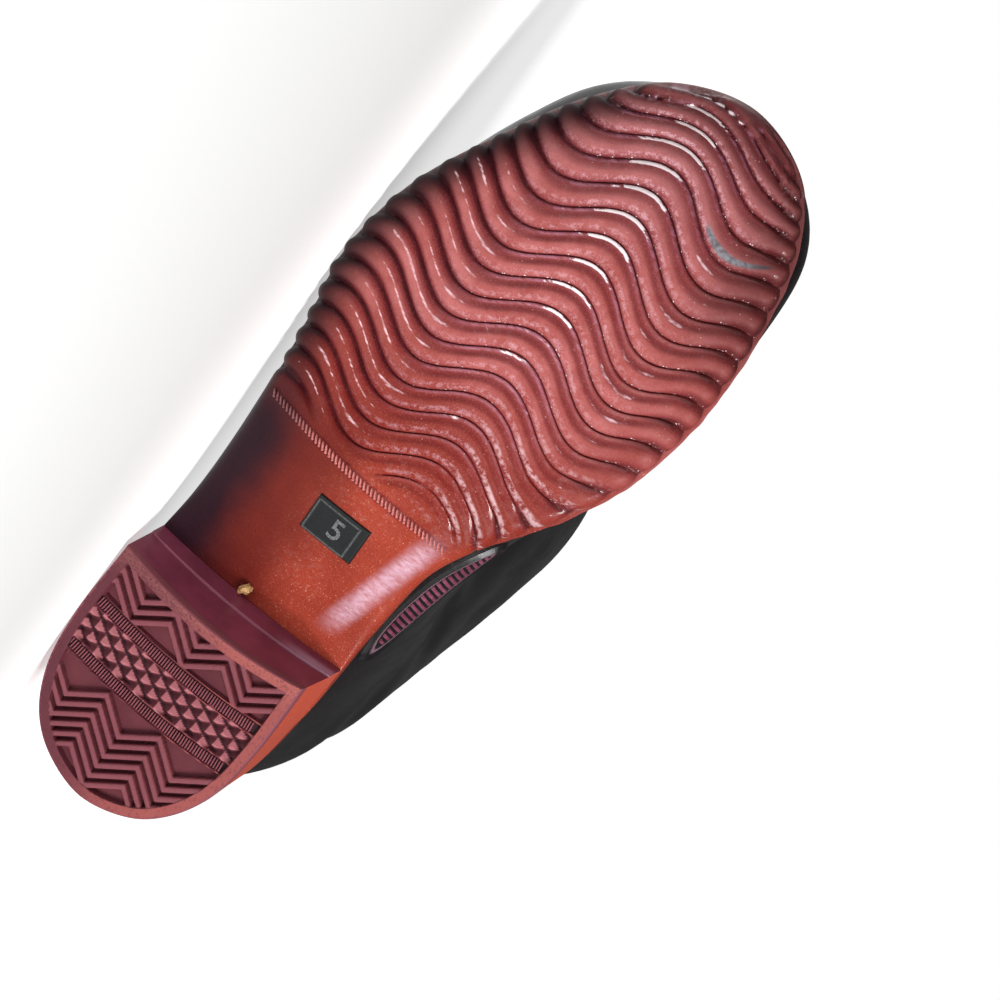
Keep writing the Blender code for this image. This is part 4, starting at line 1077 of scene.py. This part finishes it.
def clothFinish(name, dark, light, thread):
    # plain weave: two sets of threads, each on top in every other cell
    material, shader, spot = newFinish(name)
    x, y, z = (spot.axis(way) for way in "XYZ")
    warp, weft = (spot.sum("SINE", way * (math.pi / thread)) for way in (y + x * 0.35, z + x * 0.65))
    over = (warp * weft).ramp(-0.15, 0.15)
    height = over * abs(warp) + (1 - over) * abs(weft)
    wool = spot.noise(0.5, 4, 0.7, seed=2.0)
    stainAndShade = spot.noise(24, 3, 0.6, seed=4.0)
    body = stainAndShade.ramp(0.3, 0.75).blend(dark, light)
    # painted shade where the threads lie low
    body = body.paint(shade(70, 58, 48), (1 - height) * 0.45)
    body = body.paint(shade(216, 204, 188), wool.ramp(0.55, 0.8) * 0.3)
    skin = height.bump(0.2, 0.6)
    skin = wool.bump(0.15, 0.5, skin)
    setFinish(shader, {"Roughness": 0.92, "Specular IOR Level": 0.2, "Sheen Weight": 0.35,
                       "Sheen Roughness": 0.5}, {"Base Color": body, "Normal": skin})
    return material


# size label in the shank

label = {
    "stations": (100.0, 113.0),
    "sides": (0.0, 18.0),
    "cells": (66, 90),                # points along and across the boot
    "lift": 0.75,
    "border": 0.5,
    "foot": 0.1,                      # how far the border's foot lies in the sole
    "sink": 0.4,                      # and how far the walls go on from there
    "frame": (0.8, 1.6, 0.8, 3.0),    # line's inset at the heel, toe, outer and inner side
    "frameWidth": 0.34,
    "frameFlat": 0.4,                 # share of its width over which the line is full
    "frameRise": 0.12,
    "numeral": "5",
    "numeralHeight": 6.4,
    "digitShare": 0.69,               # height of the font's digits, as a share of its size
    "numeralSpot": (103.4, 7.2),
    "numeralBody": (0.16, 0.04, 0.05),   # extrusion, offset and bevel
}


def labelFace(x, y):
    (heelEnd, toeEnd), (outerEnd, innerEnd) = label["stations"], label["sides"]
    off = np.minimum(np.minimum(x - heelEnd, toeEnd - x), np.minimum(y - outerEnd, innerEnd - y))
    slope = rampUp(off, 0, label["border"])
    atHeel, atToe, atOuter, atInner = label["frame"]
    inside = np.minimum(np.minimum(x - heelEnd - atHeel, toeEnd - atToe - x),
                        np.minimum(y - outerEnd - atOuter, innerEnd - atInner - y))
    line = rampUp(np.abs(inside), label["frameWidth"], label["frameWidth"] * label["frameFlat"])
    foot = label["foot"]
    return soleBase(x, y) + foot - (label["lift"] + foot) * slope - label["frameRise"] * line, line


def makeLabel(material):
    along, across = label["cells"]
    x, y = np.meshgrid(np.linspace(*label["stations"], along), np.linspace(*label["sides"], across),
                       indexing="ij")
    height, line = labelFace(x, y)
    shape = bmesh.new()
    foldSheet(shape, np.stack([x, y, height], -1), trough=line)
    walls = bmesh.ops.extrude_edge_only(shape, edges=rimEdges(shape))
    made = [v for v in walls["geom"] if isinstance(v, bmesh.types.BMVert)]
    bmesh.ops.translate(shape, verts=made, vec=(0, 0, label["sink"]))
    bmesh.ops.holes_fill(shape, edges=rimEdges(shape), sides=0)
    finishPiece("label_plate", shape, material, "size_label")


def makeNumeral(material):
    letters = bpy.data.curves.new("numeral", "FONT")
    letters.body = label["numeral"]
    letters.size = label["numeralHeight"] / label["digitShare"]
    letters.extrude, letters.offset, letters.bevel_depth = label["numeralBody"]
    shape = bmesh.new()
    shape.from_mesh(settledMesh(addObject("numeral", letters)))
    for vert in shape.verts:
        across, upward, out = vert.co
        x, y = label["numeralSpot"][0] + upward, label["numeralSpot"][1] + across
        vert.co = (x, y, float(soleBase(x, y)) - label["lift"] - out)
    finishPiece("label_numeral", shape, material, weld=0)


def labelFinish():
    material, shader, spot = newFinish("charcoal label rubber")
    line = spot.mark("trough")
    grain = spot.noise(0.5, 3, 0.6)
    smear = spot.noise(4, 3, 0.6, seed=3.0)
    body = smear.blend(shade(12, 14, 15), shade(26, 29, 30))
    worn = line * grain.ramp(0.3, 0.55)
    body = body.paint(shade(86, 88, 88), worn * 0.85)
    body = body.paint(shade(80, 80, 80), grain.ramp(0.6, 0.75) * 0.25)
    setFinish(shader, {"Specular IOR Level": 0.3},
              {"Base Color": body, "Roughness": 0.38 + smear * 0.2, "Normal": grain.bump(0.06, 0.4)})
    return material


def numeralFinish():
    material, shader, spot = newFinish("worn grey numeral")
    grain = spot.noise(0.45, 3, 0.6)
    body = grain.ramp(0.35, 0.65).blend(shade(70, 70, 72), shade(112, 112, 114))
    setFinish(shader, {"Specular IOR Level": 0.4}, {"Base Color": body, "Roughness": 0.5 + grain * 0.2,
                                                    "Normal": grain.bump(0.08, 0.5)})
    return material


# oval patch on the inner side of the arch

patch = {
    "rings": 34,
    "spokes": 144,
    "seat": 0.05,
    "field": 0.55,
    "rim": (0.93, 0.035, 0.6),       # place as a share of the radius, half width, extra height
    "line": (0.80, 0.02, 0.3),
    "edge": (1.0, 0.95),             # places where the plate meets the upper and has its height
    "packedRim": 0.9,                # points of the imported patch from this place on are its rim
    "castFrom": 12.0,                # height over the patch from which the upper is felt for
    "bars": 21,
    "barReach": 0.72,
    "barLeast": 1.6,                 # half length of the shortest bars
    "barWidth": 1.15,
    "barSlant": 22.0,
    "barRise": 0.6,
    "barCrown": (0.45, 0.25),        # fall to the sides and to the ends, as shares of the rise
    "barFoot": -0.2,
    "barCuts": 3,
}


def patchFrame(sheet):
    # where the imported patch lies: middle, long and short direction, outward, and its rim by angle
    points = np.array([standUp @ v.co for v in frame["nodes"]["arch_patch"].data.vertices])
    middle = points.mean(0)
    out = np.linalg.svd(points - middle)[2][2]
    out *= np.sign(out[1])
    long = np.array([1.0, 0, 0]) - out * out[0]
    long /= np.linalg.norm(long)
    short = np.cross(out, long)
    u, v = (points - middle) @ long, (points - middle) @ short
    halfLong, halfShort = np.abs(u).max(), np.abs(v).max()
    turn, share = np.arctan2(v / halfShort, u / halfLong), np.hypot(u / halfLong, v / halfShort)
    edge = share > patch["packedRim"]
    order = np.argsort(turn[edge])
    rimTurn, rimShare = turn[edge][order], share[edge][order]
    tree = BVHTree.FromBMesh(sheet)

    def onUpper(u, v, lift):
        start = Vector(middle + long * u + short * v + out * patch["castFrom"])
        spot, normal = tree.ray_cast(start, Vector(-out))[:2]
        return spot + normal * lift

    def rim(angle):
        reach = np.interp(angle, rimTurn, rimShare, period=2 * math.pi)
        return reach * halfLong * math.cos(angle), reach * halfShort * math.sin(angle)

    return onUpper, rim


def makePatch(sheet, material):
    onUpper, rim = patchFrame(sheet)
    turns = np.linspace(-math.pi, math.pi, patch["spokes"] + 1)
    shares = np.linspace(0, 1, patch["rings"])
    places = np.zeros((len(shares), len(turns), 3))
    middle, half = patch["line"][:2]
    outline = np.array([[bell((share - middle) / half)] * len(turns) for share in shares])
    for i, share in enumerate(shares):
        lift = patch["seat"] + patch["field"]
        for middle, half, extra in (patch["rim"], patch["line"]):
            lift += extra * bell((share - middle) / half)
        lift *= float(rampUp(share, *patch["edge"]))
        for j, turn in enumerate(turns):
            u, v = rim(turn)
            places[i, j] = onUpper(u * share, v * share, lift)
    shape = bmesh.new()
    foldSheet(shape, places, trough=outline)
    finishPiece("patch_plate", shape, material, "arch_patch")


def makePatchBars(sheet, material):
    onUpper, rim = patchFrame(sheet)
    shape = bmesh.new()
    long, short = rim(0.0)[0] * patch["barReach"], rim(math.pi / 2)[1] * patch["barReach"]
    lean = math.tan(math.radians(patch["barSlant"]))
    toSides, toEnds = patch["barCrown"]
    for u in np.linspace(-long, long, patch["bars"]):
        half = max(short * math.sqrt(max(1 - (u / long) ** 2, 0.0)), patch["barLeast"])
        before = len(shape.verts)
        made = bmesh.ops.create_cube(shape, size=1.0)
        edges = list({e for v in made["verts"] for e in v.link_edges})
        bmesh.ops.subdivide_edges(shape, edges=edges, cuts=patch["barCuts"], use_grid_fill=True)
        shape.verts.ensure_lookup_table()
        for vert in shape.verts[before:]:
            side, along, out = vert.co
            crown = 1 - (2 * side) ** 2 * toSides - (2 * along) ** 4 * toEnds
            v = along * 2 * half
            rise = patch["barRise"] * crown if out > 0 else patch["barFoot"]
            lift = patch["seat"] + patch["field"] + rise
            vert.co = onUpper(u + side * patch["barWidth"] + v * lean, v, lift)
    finishPiece("patch_bars", shape, material, weld=0)


def patchFinish(name, dark, light):
    material, shader, spot = newFinish(name)
    grain = spot.noise(0.6, 3, 0.6)
    clouds = spot.noise(5, 3, 0.6, seed=2.0)
    line = spot.mark("trough")
    body = clouds.ramp(0.3, 0.7).blend(dark, light)
    body = body.paint(shade(168, 128, 144), line * 0.8)
    setFinish(shader, {"Specular IOR Level": 0.4, "Coat Roughness": 0.12},
              {"Base Color": body, "Roughness": 0.3 + grain * 0.2, "Coat Weight": clouds * 0.3,
               "Normal": grain.bump(0.1, 0.45)})
    return material


# crumb of dried glue in the corner between breast and shank

glue = {
    "spot": (73.0, -1.8, 20.3),
    "size": (2.3, 1.3, 2.2),
    "turn": 35.0,
    "lumps": ((0.35, 1.6), (0.15, 4.0)),   # height as a share of the crumb, and how close together
}


def makeGlue():
    shape = bmesh.new()
    place = (Matrix.Translation(glue["spot"]) @ Matrix.Rotation(math.radians(glue["turn"]), 4, "Z")
             @ Matrix.Diagonal((*glue["size"], 1)))
    made = bmesh.ops.create_icosphere(shape, subdivisions=4, radius=1.0)
    for vert in made["verts"]:
        vert.co *= 1 + sum(height * noise.noise(vert.co * close) for height, close in glue["lumps"])
    bmesh.ops.transform(shape, matrix=place, verts=shape.verts)
    material, shader, spot = newFinish("dried glue")
    flakes = spot.noise(0.5, 4, 0.65)
    body = flakes.ramp(0.35, 0.65).blend(shade(150, 96, 44), shade(222, 184, 128))
    setFinish(shader, {"Specular IOR Level": 0.5}, {"Base Color": body, "Roughness": 0.35 + flakes * 0.3,
                                                    "Normal": flakes.bump(0.3, 0.6)})
    finishPiece("glue_crumb", shape, material)


soleRubber = soleFinish()
makeSole(soleRubber)
makePlait(plaitFinish())
makeFlash(soleRubber)
heelRubber = heelFinish()
makeHeel(heelRubber)
makeRungs(heelRubber)
outerFace = upperSheet()
makeUpper(outerFace, upperFinish())
makeLining(outerFace, clothFinish("cotton lining", shade(150, 140, 124), shade(186, 176, 158), 1.9))
insoleFinishes = frame["nodes"]["insole"].data.materials
insoleFinishes.clear()
insoleFinishes.append(clothFinish("insole cloth", shade(120, 100, 84), shade(150, 130, 110), 2.2))
makeLabel(labelFinish())
makeNumeral(numeralFinish())
makePatch(outerFace, patchFinish("black patch rubber", shade(10, 8, 10), shade(20, 15, 19)))
makePatchBars(outerFace, patchFinish("maroon relief rubber", shade(112, 46, 70), shade(150, 80, 104)))
outerFace.free()
makeGlue()
print("pieces are in place")

# stage

studio = {
    "floorRadius": 2.4,
    "floorTints": ((0.78, 0.78, 0.78, 1), (0.82, 0.82, 0.81, 1)),
    "floorGlow": (0.05, 0.75, 1.0),   # glow that the floor gives off before, under and far from the boot
    "floorFades": ((-0.25, -0.05), (0.1, 1.2), (-0.7, -1.3)),   # to under it, far behind, far before
    "backdrop": 1.0,                  # brightness of the plain backdrop
    "worldLight": 0.08,
    "lampAim": (0, -0.12, 0.05),
    "lamps": (   # name, degrees from straight ahead to the heel, degrees up, metres away, size, watts
        ("key", 14, 40, 1.5, 0.8, 22),
        ("spark", 24, 30, 1.6, 0.14, 9),
        ("fill", 60, 25, 1.9, 1.4, 5),
    ),
}


def makeFloor():
    shape = bmesh.new()
    bmesh.ops.create_circle(shape, cap_ends=True, cap_tris=True, segments=96,
                            radius=studio["floorRadius"])
    mesh = meshFrom("floor", shape)
    floor = addObject("floor", mesh)
    material = bpy.data.materials.new("pale studio floor")
    material.use_nodes = True
    spot = Wire(material.node_tree).node("TexCoord", {}, {}, "Object")
    away = spot.axis("Y")
    before, under, far = ((level, level, level, 1) for level in studio["floorGlow"])
    glow = away.ramp(*studio["floorFades"][0]).blend(before, under)
    for fade in studio["floorFades"][1:]:
        glow = away.ramp(*fade).blend(glow, far)
    tint = spot.noise(0.3, 2).blend(*studio["floorTints"])
    setFinish(material.node_tree.nodes["Principled BSDF"],
              {"Roughness": 0.8, "Specular IOR Level": 0.1, "Emission Strength": 1.0},
              {"Base Color": tint, "Emission Color": glow})
    mesh.materials.append(material)
    floor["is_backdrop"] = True


def addLamp(name, turn, rise, away, size, power):
    turn, rise = math.radians(turn), math.radians(rise)
    way = Vector((math.sin(turn) * math.cos(rise), -math.cos(turn) * math.cos(rise), math.sin(rise)))
    data = bpy.data.lights.new(name, "AREA")
    data.shape = "DISK"
    data.size = size
    data.energy = power
    lamp = addObject(name, data)
    lamp.location = Vector(studio["lampAim"]) + way * away
    lamp.rotation_euler = (-way).to_track_quat("-Z", "Y").to_euler()
    lamp.visible_camera = False


def lightStudio():
    for lamp in studio["lamps"]:
        addLamp(*lamp)
    world = bpy.data.worlds.new("studio")
    world.use_nodes = True
    seen = Wire(world.node_tree).node("LightPath", {}, {}, "Is Camera Ray")
    light = studio["worldLight"] + seen * (studio["backdrop"] - studio["worldLight"])
    background = world.node_tree.nodes["Background"]
    background.inputs["Color"].default_value = (1, 1, 1, 1)
    world.node_tree.links.new(light.socket, background.inputs["Strength"])
    scene.world = world
    scene.view_settings.view_transform = "Standard"


# camera

view = {
    "target": (145.1, 40.8, 8.0),
    "tilt": 17.0,       # degrees that the line of sight leans to the toe
    "rise": 4.0,        # and to the inner side
    "distance": 800.0,
    "roll": 52.125,
    "lens": 105.5,
    "sensor": 36.0,
}


def placeCamera():
    tilt, rise, roll = (math.radians(view[name]) for name in ("tilt", "rise", "roll"))
    away = Vector((math.sin(tilt), math.cos(tilt) * math.sin(rise), -math.cos(tilt) * math.cos(rise)))
    level = Vector((1, 0, 0)) - away.x * away
    level.normalize()
    over = level.cross(-away)
    right = math.cos(roll) * level - math.sin(roll) * over
    up = math.sin(roll) * level + math.cos(roll) * over
    eye = layDown @ (Vector(view["target"]) + away * view["distance"])
    turned = turnDown @ Matrix((right, up, away)).transposed()
    data = bpy.data.cameras.new("camera")
    data.lens = view["lens"]
    data.sensor_width = view["sensor"]
    data.clip_end = 50.0
    scene.camera = addObject("camera", data)
    scene.camera.matrix_world = Matrix.Translation(eye) @ turned.to_4x4()


makeFloor()
lightStudio()
placeCamera()
print("floor, lamps and camera are set")

boxes = {"cad": cadBox, "visual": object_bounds()}
{key: [list(corner) for corner in box] for key, box in boxes.items()}
